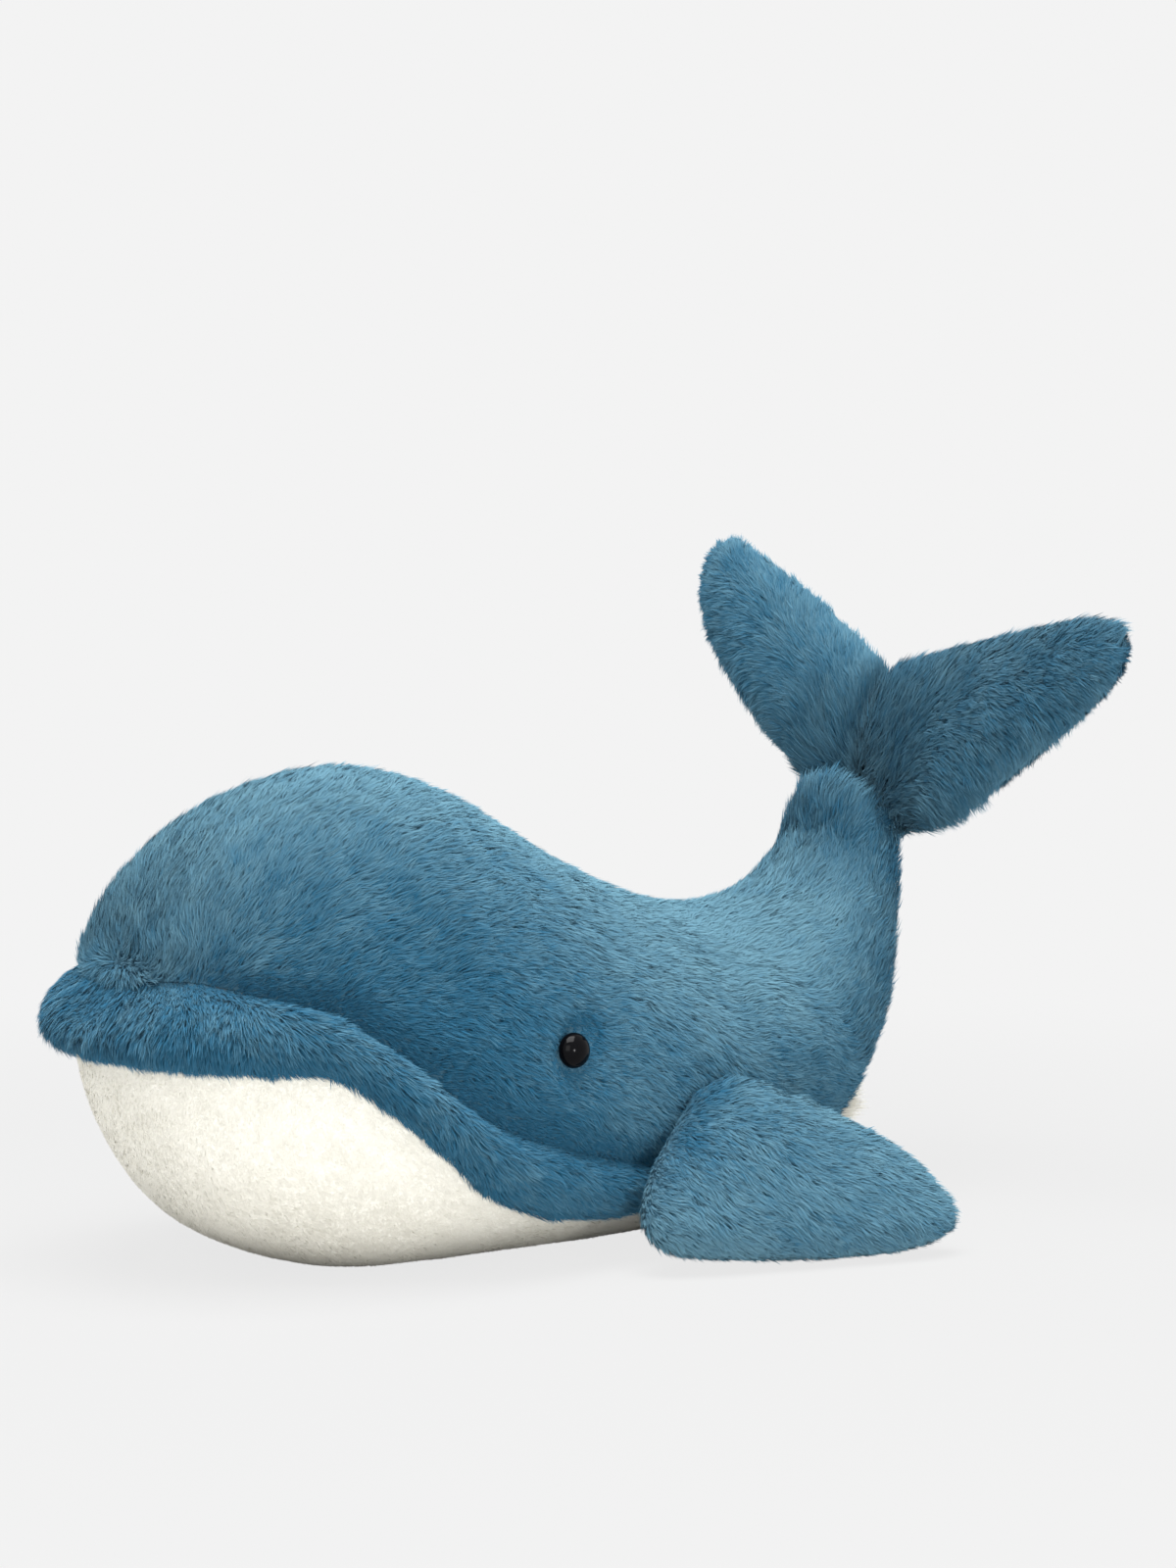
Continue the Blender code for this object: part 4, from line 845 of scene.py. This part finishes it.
class PlushStage(bpy.types.PropertyGroup):
    """The studio."""

    shade: bpy.props.FloatProperty(
        name="Backdrop", description="Shade of the floor and backdrop",
        default=0.896, min=0, max=1)
    world: bpy.props.FloatProperty(
        name="Room light", description="Strength of the even light from all round",
        default=0.417, min=0)
    key: bpy.props.FloatProperty(
        name="Key light", description="Power of the large lamp overhead", unit="POWER",
        default=37.0, min=0)
    fill: bpy.props.FloatProperty(
        name="Fill light", description="Power of the lamp in front", unit="POWER",
        default=6.2, min=0)
    catch: bpy.props.FloatProperty(
        name="Catch light", description="Power of the small lamp seen in the eyes", unit="POWER",
        default=5.2, min=0)


# ---------------------------------------------------------------- sewing and combing
def bend_with_tail(piece):
    """Bakes the piece's place into its mesh."""
    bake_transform(piece)


def ride_body(piece):
    """All of it on the body."""
    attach(piece, "body")


def sew(name, outer, inner, colour, nodes, follow):
    """A skin from its two grids, standing for its solids."""
    piece = shell_object(name, outer, inner, backing_material(colour))
    follow(piece)
    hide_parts(*nodes)


def comb_out(name, sheet, follow, colour, seed, thick=1.0, whole=True, blades=7, pull=0.36, wide=1.0,
             even=0.5):
    """The fur of one sheet: tufts scattered on it, in bands of at most so many triangles.

    Thick is the share of the usual density, blades is how many a tuft has, pull draws their tips
    together, wide is the share of the usual width, and even takes the shading to the cloth's.
    """
    pile = bpy.context.scene.plush_pile
    density = getattr(pile, colour + "_density") * thick * 1.0
    width = pile.blade_width * wide * 1.0
    places = sheet.scatter(density / MM ** 2 / blades, np.random.default_rng(seed))
    bands = math.ceil(len(places[0]) * blades * (2 if whole else 1) / pile.most)
    cuts = np.linspace(0, len(places[0]), bands + 1).astype(int)
    for band in range(bands):
        part = [a[cuts[band]:cuts[band + 1]] for a in places]
        label = name if bands == 1 else name + "_" + str(band + 1)
        piece = fur_object(label, part, blades, width, pull, seed + 100 * (band + 1), pile_material(colour),
                           whole, even)
        follow(piece)


def both_hands(part, node_name, sheet, outer, inner, follow, seed, fill=0.9, **fur):
    """A left panel's skin and fur, and the same again mirrored, with the next seed."""
    for hand, flip, side, add in (("left", np.ones(3), sheet, 0), ("right", MIRROR, sheet.mirrored(), 1)):
        name = part + "_" + hand
        sew("skin_" + name, outer * flip, inner * flip, "blue", [node_name + "_" + hand], follow)
        comb_out("fur_" + name, side, follow, "blue", seed + add, **fur)


def eased(value, low, high):
    """0 below low, 1 above high and 3t^2 - 2t^3 between."""
    t = np.clip((value - low) / (high - low), 0, 1)
    return t * t * (3 - 2 * t)


def faded(value, low, high):
    """1 below low, 0 above high."""
    return 1 - eased(value, low, high)


def shares(grid):
    """How far each column is across a grid, from 0 to 1."""
    return np.linspace(0, 1, grid.shape[1])[None]


def creased(grid):
    """Where along the head the cloth is drawn in by the crease above the lip roll."""
    return eased(grid[..., 0], -0.138, -0.124) * faded(grid[..., 0], 0.004, 0.026)


def distance(grid, point):
    """Distance of each corner from a point."""
    return np.linalg.norm(grid - point, axis=-1)


def side_edges(u):
    """A side panel: from the back line down to the crease, less half a gap."""
    low = np.zeros_like(u)
    high = crease_angle(u)
    return low, np.maximum(high - gap_angle(u, high), 0.0)


def lip_edges(u):
    """A lip strip: from the crease to the border, less half a gap each."""
    low, high = crease_angle(u), border_angle(u)
    low = np.where(low > 0, low + gap_angle(u, low), 0.0)
    high = np.where(high < math.pi - STEP, high - gap_angle(u, high), math.pi)
    return np.minimum(low, (low + high) / 2), np.maximum(high, (low + high) / 2)


def belly_edges(u):
    """The belly: from the left border round to the right one, less half a gap each."""
    edge = border_angle(u)
    edge = np.minimum(edge + gap_angle(u, edge), math.pi)
    return edge, 2 * math.pi - edge


def tail_edges(u):
    """A tail side: from the back line down to the border, less half a gap."""
    edge = border_angle(u)
    return np.zeros_like(u), np.where(edge < math.pi - STEP, edge - gap_angle(u, edge), edge)


def notch_place():
    """Where the crease crosses the back line, above the nose."""
    return first_place(lambda u: trunk_ring(u)[0][1] > smooth(CREASE, u) * HEAD_HEIGHT, 0.0, 2 / LAST)


def chin_place():
    """Where the border crosses the belly line, below the nose."""
    return first_place(lambda u: trunk_ring(u)[2][1] < smooth(BORDER, u) * HEAD_HEIGHT, 0.0, 2 / LAST)


def strip_end():
    """Where the white strip under the tail runs out."""
    return first_place(lambda u: trunk_ring(u)[2][1] > smooth(BORDER, u) * HEAD_HEIGHT,
                       (LAST - 3) / LAST, 1.0)


def side_panel(part, outer, inner, pile):
    """A side panel's pressed skin and its pile.

    The skin is pressed in by 0.6 mm round the eye, 1.2 mm behind it and 2.2 mm along the crease.
    The pile parts round the eye, is short in the crease, and stands up round the end of the tail stock. Its
    tone is painted light and shade: palest where the cloth faces up, lighter on the saddle, and darkest at
    the front, in the crease, in the hollow above and behind the eye, and on the tail stock's end by the
    flukes.
    """
    eye, normal, share = trunk(*EYE_PLACE, 0.0, SIDE_GAP), corner_normals(outer, (0, -1, 0)), shares(outer)
    x, z, up = outer[..., 0], outer[..., 2], normal[..., 2]
    dip, held = distance(outer, eye), creased(outer)
    hollow = faded(distance(outer, eye + np.array([0.0034, 0.0, 0.0046])), 0.002, 0.009)
    fold = eased(share, 0.87, 1.0) * held * (part == "side")
    press = 0.0006 * faded(dip, 0.003, 0.011) + 0.0012 * hollow + 0.0022 * fold
    sunk, inner = outer - normal * press[..., None], inner - normal * (0.5 * press)[..., None]

    away, flow = flat_to(outer - eye, normal), flat_to(comb_from(SIDE_COMB, outer), normal)
    round_eye = faded(dip, 0.005, 0.013)[..., None]
    lid = eased(z - trunk(*EYE_PLACE)[2], 0.0, 0.004)
    comb = flow - 0.9 * round_eye * (flow * away).sum(-1, keepdims=True) * away
    comb = comb + (0.25 - 0.35 * lid[..., None]) * round_eye * away
    back_seam = eased(share, 0.0, 0.04) if part == "side" else 1.0
    crease = eased(share, 0.86, 1.0) * held
    length = pile.blue_length * (0.9 + 0.1 * back_seam) * (1 - 0.52 * crease)
    length = length * (0.42 + 0.58 * eased(dip, 0.0055, 0.016)) * (1 - 0.5 * hollow)
    length = length * (1 + 0.3 * lid * (dip < 0.0085))
    # Painted light and shade in the tone: palest where the cloth faces up, a painted sheen on the saddle, and
    # darker at the front of the dome, in the crease, round the eye and in the hollow behind it.
    front = faded(x, -0.075, 0.005) * faded(up, 0.65, 0.95) * eased(x, -0.132, -0.105)
    saddle_sheen = eased(x, -0.015, 0.035) * faded(x, 0.060, 0.100) * eased(up, 0.1, 0.6)
    tone = (0.36 + 0.48 * eased(up, 0.05, 0.95) - 0.34 * front + 0.16 * saddle_sheen - 0.34 * crease
            - 0.02 * faded(dip, 0.006, 0.013) - 0.80 * hollow)
    lift = 0.86 - 0.30 * faded(dip, 0.006, 0.014)
    if part == "tail_side":
        from_foot = distance(outer, trunk(1.0, 0.0))
        near, very = faded(from_foot, 0.010, 0.030), faded(from_foot, 0.006, 0.016)
        comb = turned(comb, normal, waves(outer, ((0.9, 0.016, 21),)) * near)
        comb = comb + (1.1 * near * faded(share, 0.0, 0.22))[..., None] * np.array([0.0, 1.0, 0.0])
        length, lift = length * (1 + 0.7 * near + 0.7 * very), lift + 0.25 * near - 0.35 * very
        # Painted shade: the tail stock darker high on its end and near the flukes, most in the parting along
        # the back seam.
        tone = tone - 0.18 * eased(z, 0.082, 0.112) - 0.20 * near - 0.30 * near * faded(share, 0.0, 0.05)
    sheet = Sheet(sunk, (0, -1, 0), comb, length, tone, lift)
    sheet.length = np.where(dip < 0.0052, 0.0004, sheet.length)
    return sheet, sunk, inner


class PLUSH_OT_sides(bpy.types.Operator):
    """Sew and comb the blue side panels of the body and of the tail stock"""

    bl_idname = "plush.sides"
    bl_label = "Side panels"

    def execute(self, context):
        for part, node_name, first, last, edges, rows, crowd, seed in (
                ("side", "side_panel", notch_place() + SEAM_START, None, side_edges, SIDE_ROWS, 1.5, 15),
                ("tail_side", "tail_side", None, 1.0, tail_edges, TAIL_ROWS, 1.0, 20)):
            pair = panel_pair(edges, first, last, rows, SIDE_COLUMNS, SIDE_GAP, crowd)
            panel = side_panel(part, *pair, context.scene.plush_pile)
            both_hands(part, node_name, *panel, bend_with_tail, seed)
        return {"FINISHED"}


class PLUSH_OT_lip_roll(bpy.types.Operator):
    """Sew and comb the padded lip roll, in a left and a right strip"""

    bl_idname = "plush.lip_roll"
    bl_label = "Lip roll"

    def execute(self, context):
        outer, flat, inner = [
            panel_grid(lip_edges, 0.0, LIP_END / LAST - 0.001, LIP_ROWS, LIP_COLUMNS, depth, SIDE_GAP, 1.4,
                       bulge)
            for depth, bulge in ((0.0, True), (0.0, False), (SKIN, False))]
        share, normal = shares(outer), corner_normals(flat, (0, -1, 0))
        fold = faded(share, 0.0, 0.20) * creased(flat)
        outer = outer - normal * (0.0022 * fold)[..., None]
        inner = inner - normal * (0.0011 * fold)[..., None]
        nose = faded(flat[..., 0], -0.136, -0.118) * faded(share, 0.1, 0.55)
        length = context.scene.plush_pile.blue_length * (1.08 - 0.50 * fold) * (1 - 0.5 * nose)
        # Painted shade and highlight: the roll's tone is low, lowest in the fold by the crease and towards
        # its underside, and lifted along its ridge.
        tone = 0.03 - 0.10 * fold + 0.16 * np.sin(math.pi * share ** 0.7) ** 2 - 0.10 * eased(share, 0.6, 1.0)
        lift = 0.85 - 0.35 * faded(share, 0.0, 0.3)
        sheet = Sheet(outer, (0, -1, 0), comb_from(LIP_COMB, outer), length, tone, lift)
        both_hands("lip", "lip", sheet, outer, inner, ride_body, 31, 1.0, thick=1.15, pull=0.48)
        return {"FINISHED"}


class PLUSH_OT_belly(bpy.types.Operator):
    """Sew and comb the white belly panel and the white strip under the tail"""

    bl_idname = "plush.belly"
    bl_label = "Belly"

    def execute(self, context):
        pile = context.scene.plush_pile
        for name, node_name, first, last, rows, crowd, toward, seed in (
                ("belly", "belly_panel", chin_place() + SEAM_START, None, BELLY_ROWS, 1.5, (0, 0, -1), 151),
                ("tail_underside", "tail_underside", None, strip_end() - STRIP_SHORT, STRIP_ROWS, 1.0,
                 (1, 0, -0.3), 85)):
            outer, inner = panel_pair(belly_edges, first, last, rows, BELLY_COLUMNS, 0.0, crowd)
            share, row = shares(outer), np.linspace(0, 1, rows + 1)[:, None]
            rear = eased(outer[..., 0], 0.02, 0.05) * faded(outer[..., 0], 0.090, 0.104)
            hem = faded(np.minimum(share, 1 - share), 0.02, 0.16)
            joined = eased(row, 0.93, 1.0) if name == "belly" else faded(row, 0.0, 0.12)
            length = pile.white_length * (1 + rear * (0.8 + 2.4 * hem)) * (1 + 0.7 * joined)
            # Painted shade: the white pile is darker towards the floor and paler higher up.
            tone = 0.10 + 0.80 * eased(outer[..., 2], 0.004, 0.062)
            sheet = Sheet(outer, toward, comb_from(BELLY_COMB, outer), length, tone, 0.6 + 0.9 * rear * hem)
            sew("skin_" + name, outer, inner, "white", [node_name], bend_with_tail)
            comb_out("fur_" + name, sheet, bend_with_tail, "white", seed,
                     whole=False, blades=5, pull=0.45, wide=1.25, even=0.8)
        return {"FINISHED"}


def placed(grid, place):
    """A leaf's flat grid carried to its place: along, away and face from the origin."""
    origin, along, away, face = place
    return origin + grid[..., 0:1] * along + grid[..., 1:2] * away + grid[..., 2:3] * face


def leaf_sheet(table, sizes, sign, place, look, length, edge, tone):
    """A fluke's or flipper's face in place, combed out from a source point beside its root."""
    _, along, away, face = place
    flat, deep = [leaf_rows(lambda u: smooth(table, u) * sizes, LEAF_ROWS, LEAF_COLUMNS, depth, sign,
                            SIDE_GAP) for depth in (0.0, SKIN)]
    outer, inner = placed(flat, place), placed(deep, place)
    share, reach, wide = shares(outer), look["reach"], look["wide"]
    far = flat[..., 1]
    root = faded(far, 0.2 * reach, reach) * faded(share, wide - 0.35, wide)
    across = -np.cos(math.pi * share)
    way = unit(flat[..., :2] - np.array(look["source"]))
    way[..., 0] += ((look["upward"] + look["fan"] * across * np.abs(across)) * eased(far, 0.012, 0.045)
                    + look["climb"] * faded(far, 0.004, 0.032))
    comb = way[..., 0:1] * along + way[..., 1:2] * away
    rim = 1 - np.sin(math.pi * share) ** 0.5
    length = length * (1 + edge * rim) * (1 - look["tip"] * eased(far / sizes[1], 0.75, 1.0))
    # Painted light and shade: the pile is paler round the rims, and at the root darker on the flippers and a
    # little paler on the flukes.
    sheet = Sheet(outer, sign * face, comb, length * (1 + look["drop"] * 0.9 * root),
                  tone + 0.50 * rim + look["shade"] * root,
                  look["lift"] * (1 + 0.1 * rim) * (1 + look["drop"] * 0.5 * root))
    if sign < 0:
        end = eased(np.linspace(0, 1, outer.shape[0])[:, None], 0.90, 1.0)
        sheet.normal = unit(sheet.normal + look["wrap"] * np.maximum(rim, end)[..., None] * face)
    return sheet, outer, inner


def stuff(part, points, quads, follow):
    """A piece of stuffing from its points and faces, standing for its solid."""
    fibre = plain_material("fibre_stuffing", (0.86, 0.86, 0.84, 1), (0.74, 0.74, 0.72, 1), 0.85, 500.0,
                           0.0008)
    piece = closed_object("stuffing_" + part, points, quads, fibre)
    follow(piece)
    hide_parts(part + "_filling")


def stuff_trunk(part):
    """The body's or the tail's stuffing: rings a skin and a gap further in, closed at both ends."""
    v = np.linspace(0, 2 * math.pi, 41)
    cut = barrel_exit(v, SKIN + FILLING_GAP)
    start, end = (0.003, cut) if part == "body" else (cut, 0.97)
    t = np.linspace(0, 1, 50)[:, None]
    grid = trunk(start + (end - start) * t, v, SKIN + FILLING_GAP)
    ends = [np.broadcast_to(grid[row].mean(0), (1,) + grid.shape[1:]) for row in (0, -1)]
    grid = np.concatenate([ends[0], grid, ends[1]])
    stuff(part, grid.reshape(-1, 3), grid_quads(*grid.shape[:2]), bend_with_tail)


def stuff_leaf(part, table, sizes, place, follow):
    """A leaf's stuffing: both its faces, a skin and a gap further in, closed at the rim."""
    faces = [leaf_rows(lambda u: smooth(table, u) * sizes, STUFFING_ROWS, STUFFING_COLUMNS,
                       SKIN + FILLING_GAP, sign, 0.0) for sign in (1.0, -1.0)]
    rows, columns = faces[0].shape[:2]
    points = placed(np.concatenate(faces).reshape(-1, 3), place)
    quads = np.concatenate([grid_quads(rows, columns), grid_quads(rows, columns, rows * columns, True)])
    stuff(part, points, quads, follow)


def dress_leaf(name, table, sizes, place, look, follow, seed, length, tone, rims, pull):
    """A fluke's or flipper's stuffing, and the skin and fur of its two sides, each with its rim."""
    stuff_leaf(name, table, sizes, place, follow)
    for (side, rim), sign in zip(rims.items(), (1.0, -1.0)):
        sheet, outer, inner = leaf_sheet(table, sizes, sign, place, look, length, rim, tone)
        sew("skin_" + name + "_" + side, outer, inner, "blue", [name + "_" + side], follow)
        comb_out("fur_" + name + "_" + side, sheet, follow, "blue", seed + int(sign), pull=pull)


class PLUSH_OT_flukes(bpy.types.Operator):
    """Sew and comb the two tail flukes, each from a front and a back panel"""

    bl_idname = "plush.flukes"
    bl_label = "Tail flukes"

    def execute(self, context):
        sizes = np.array([FLUKE_ROOT, FLUKE_REACH, FLUKE_ROOT, FLUKE_REACH, FLUKE_HALF_THICKNESS])
        for hand, seed in (("left", 51), ("right", 55)):
            place = origin, _, away, _ = fluke_frame(hand)
            table = FLUKE.copy()
            table[:, 0] += LOWER_SAG[hand]
            table[:, 2] += UPPER_FILL[hand]

            def follow(piece):
                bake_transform(piece)

            dress_leaf("fluke_" + hand, table, sizes, place, FLUKE_COMB, follow, seed,
                       context.scene.plush_pile.blue_length * 1.25, FLUKE_TONE[hand], FLUKE_RIM, 0.50)
        return {"FINISHED"}


class PLUSH_OT_flippers(bpy.types.Operator):
    """Sew and comb the two flippers, each from a top and an under panel"""

    bl_idname = "plush.flippers"
    bl_label = "Flippers"

    def execute(self, context):
        sizes = np.array([FLIPPER_LENGTH, FLIPPER_DROP, FLIPPER_LENGTH, FLIPPER_DROP,
                          FLIPPER_HALF_THICKNESS])
        table = FLIPPER.copy()
        table[:3, 1] += ROOT_DROP
        table[:3, 3] += ROOT_DROP
        for hand, flip, seed in (("left", np.ones(3), 61), ("right", MIRROR, 65)):
            place = origin, _, away, _ = [part * flip for part in flipper_frame()]

            def follow(piece):
                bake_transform(piece)

            dress_leaf("flipper_" + hand, table, sizes, place, FLIPPER_COMB, follow, seed,
                       context.scene.plush_pile.blue_length * 1.05, 0.54, FLIPPER_RIM, 0.48)
        return {"FINISHED"}


class PLUSH_OT_eyes(bpy.types.Operator):
    """Turn the two black bead eyes with their shanks"""

    bl_idname = "plush.eyes"
    bl_label = "Bead eyes"

    def execute(self, context):
        material, tree, shader = base_material("black_bead")
        mask = place_group(tree, cloth_group(), {"Scale": 2500.0, "Mottle": 300.0}).outputs["Mask"]
        black = (*context.scene.plush_colours.bead, 1.0)
        colour = mix_colours(tree, mask, black, tuple(1.6 * c for c in black[:3]) + (1.0,))
        feed(tree, shader, {"Base Color": colour, "Roughness": ramp(tree, mask, 0.09, 0.13),
                            "Specular IOR Level": 0.09})
        turn = np.linspace(math.pi / 2, 0, 14)
        dome = np.stack([EYE_RADIUS * np.cos(turn), EYE_SEAT + EYE_HEIGHT * (0.2 + 0.8 * np.sin(turn))], -1)
        rest = np.array([(EYE_RADIUS * 0.97, EYE_SEAT + EYE_HEIGHT * 0.08), (EYE_RADIUS * 0.8, EYE_SEAT),
                         (SHANK_RADIUS * 1.2, EYE_SEAT), (SHANK_RADIUS, EYE_SEAT - 0.0003),
                         (SHANK_RADIUS, -SHANK_LENGTH + 0.0004), (SHANK_RADIUS * 0.7, -SHANK_LENGTH),
                         (0.0, -SHANK_LENGTH)])
        profile = np.concatenate([dome, rest])
        profile[0, 0] = 0.0
        place, way = trunk(*EYE_PLACE, 0.0, SIDE_GAP), trunk_normal(*EYE_PLACE)
        for hand, flip in (("left", np.ones(3)), ("right", MIRROR)):
            grid = lathe(profile, place, way, 40) * flip
            quads = grid_quads(*grid.shape[:2])
            piece = closed_object("eye_bead_" + hand, grid.reshape(-1, 3), quads, material)
            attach(piece, "body")
            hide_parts("eye_" + hand)
        return {"FINISHED"}


class PLUSH_OT_inside(bpy.types.Operator):
    """Stuff the trunk and the tail, and give the pellet pouch and the eye washers their finishes"""

    bl_idname = "plush.inside"
    bl_label = "Stuffing and hidden pieces"

    def execute(self, context):
        stuff_trunk("body")
        stuff_trunk("tail")
        cloth = plain_material("pouch_weave", (0.62, 0.60, 0.55, 1), (0.50, 0.49, 0.45, 1), 0.80, 1500.0,
                               0.0003)
        washer = plain_material("washer_moulding", (0.72, 0.72, 0.70, 1), (0.66, 0.66, 0.64, 1), 0.45, 2000.0,
                                0.00005)
        for name, piece in frame["nodes"].items():
            finish = cloth if name == "pellet_pouch" else washer if "washer" in name else None
            if finish:
                for slot in piece.material_slots:
                    slot.material = finish
        return {"FINISHED"}


def straight_rays(tree):
    """One for what the camera, a mirror or a glass sees: the sum of three Light Path outputs, at most 1."""
    seen = node(tree, "ShaderNodeLightPath")
    total = node(tree, "ShaderNodeMath", {0: seen.outputs["Is Camera Ray"], 1: seen.outputs["Is Glossy Ray"]},
                 operation="ADD")
    return node(tree, "ShaderNodeMath", {0: total.outputs[0], 1: seen.outputs["Is Transmission Ray"]},
                operation="ADD", use_clamp=True).outputs[0]


class PLUSH_OT_stage(bpy.types.Operator):
    """Set the plain pale floor, the soft lamps, the room light and the camera"""

    bl_idname = "plush.stage"
    bl_label = "Studio"

    def execute(self, context):
        scene, stage = context.scene, context.scene.plush_stage
        scene.view_settings.view_transform = "Standard"
        shade = (stage.shade, stage.shade, stage.shade, 1.0)
        material, tree, shader = base_material("studio_floor")
        tree.nodes.remove(shader)
        place = node(tree, "ShaderNodeTexCoord").outputs["Object"]
        far = node(tree, "ShaderNodeVectorMath", {0: place}, operation="LENGTH").outputs["Value"]
        near = ramp(tree, far, 1.0, 0.0, 0.20, 0.55, interpolation_type="SMOOTHSTEP")
        spread = node(tree, "ShaderNodeBsdfDiffuse", {"Color": (0.70, 0.70, 0.70, 1)})
        glow = node(tree, "ShaderNodeEmission", {"Color": shade, "Strength": ramp(tree, near, 1.0, 0.935)})
        part = node(tree, "ShaderNodeMath", {0: straight_rays(tree), 1: ramp(tree, near, 1.0, 0.93)},
                    operation="MULTIPLY")
        both = node(tree, "ShaderNodeMixShader",
                    {0: part.outputs[0], 1: spread.outputs[0], 2: glow.outputs[0]})
        feed(tree, tree.nodes["Material Output"], {"Surface": both.outputs[0]})
        side = np.linspace(-20.0, 20.0, 9)
        x, y = np.meshgrid(side, side, indexing="ij")
        grid = np.stack([x, y, 0 * x], -1)
        mesh = bpy.data.meshes.new("studio_floor")
        mesh.from_pydata(grid.reshape(-1, 3), [], grid_quads(*grid.shape[:2], 0, True))
        new_object("studio_floor", mesh, material)

        world = bpy.data.worlds.new("studio_room")
        scene.world = world
        world.use_nodes = True
        tree = world.node_tree
        room = feed(tree, tree.nodes["Background"], {"Color": (0.98, 0.99, 1.0, 1.0),
                                                     "Strength": stage.world})
        pale = node(tree, "ShaderNodeBackground", {"Color": shade, "Strength": 1.0})
        both = node(tree, "ShaderNodeMixShader",
                    {0: straight_rays(tree), 1: room.outputs[0], 2: pale.outputs[0]})
        feed(tree, tree.nodes["World Output"], {"Surface": both.outputs[0]})

        for name, place, size in LAMPS:
            lamp = bpy.data.lights.new(name + "_lamp", "AREA")
            lamp.shape, lamp.size, lamp.energy = "SQUARE", size, getattr(stage, name)
            holder = bpy.data.objects.new(name + "_lamp", lamp)
            bpy.context.collection.objects.link(holder)
            holder.location = place
            holder.rotation_euler = (LAMP_AIM - Vector(place)).to_track_quat("-Z", "Y").to_euler()

        back = Vector((-math.sin(CAMERA_TURN) * math.cos(CAMERA_TILT),
                       -math.cos(CAMERA_TURN) * math.cos(CAMERA_TILT), math.sin(CAMERA_TILT)))
        lens = bpy.data.cameras.new("photo_camera")
        lens.sensor_width, lens.lens, lens.shift_y = SENSOR, LENS, SHIFT
        lens.clip_start, lens.clip_end = 0.05, 50.0
        camera = bpy.data.objects.new("photo_camera", lens)
        bpy.context.collection.objects.link(camera)
        camera.location = CAMERA_AIM + back * CAMERA_BACK
        camera.rotation_euler = (-back).to_track_quat("-Z", "Y").to_euler()
        scene.camera = camera
        return {"FINISHED"}


STEPS = (PLUSH_OT_stage, PLUSH_OT_sides, PLUSH_OT_lip_roll, PLUSH_OT_belly, PLUSH_OT_flukes,
         PLUSH_OT_flippers, PLUSH_OT_eyes, PLUSH_OT_inside)


class VIEW3D_PT_plush(bpy.types.Panel):
    """Lists the steps that dress the whale"""

    bl_idname = "VIEW3D_PT_plush"
    bl_label = "Plush whale"
    bl_space_type = "VIEW_3D"
    bl_region_type = "UI"
    bl_category = "Plush"

    def draw(self, context):
        for settings in (context.scene.plush_colours, context.scene.plush_pile, context.scene.plush_stage):
            box = self.layout.box()
            for name in settings.__annotations__:
                box.prop(settings, name)
        for step in STEPS:
            self.layout.operator(step.bl_idname)


CLASSES = (PlushColours, PlushPile, PlushStage) + STEPS + (VIEW3D_PT_plush,)


def register():
    """Adds the settings, the steps and the panel."""
    for part in CLASSES:
        bpy.utils.register_class(part)
    bpy.types.Scene.plush_colours = bpy.props.PointerProperty(type=PlushColours)
    bpy.types.Scene.plush_pile = bpy.props.PointerProperty(type=PlushPile)
    bpy.types.Scene.plush_stage = bpy.props.PointerProperty(type=PlushStage)


def unregister():
    """Takes them away again."""
    del bpy.types.Scene.plush_colours, bpy.types.Scene.plush_pile, bpy.types.Scene.plush_stage
    for part in reversed(CLASSES):
        bpy.utils.unregister_class(part)


def main():
    register()
    for step in (bpy.ops.plush.stage, bpy.ops.plush.sides, bpy.ops.plush.lip_roll, bpy.ops.plush.belly,
                 bpy.ops.plush.flukes, bpy.ops.plush.flippers, bpy.ops.plush.eyes, bpy.ops.plush.inside):
        step()
    bpy.context.view_layer.update()


if __name__ == "__main__":
    main()
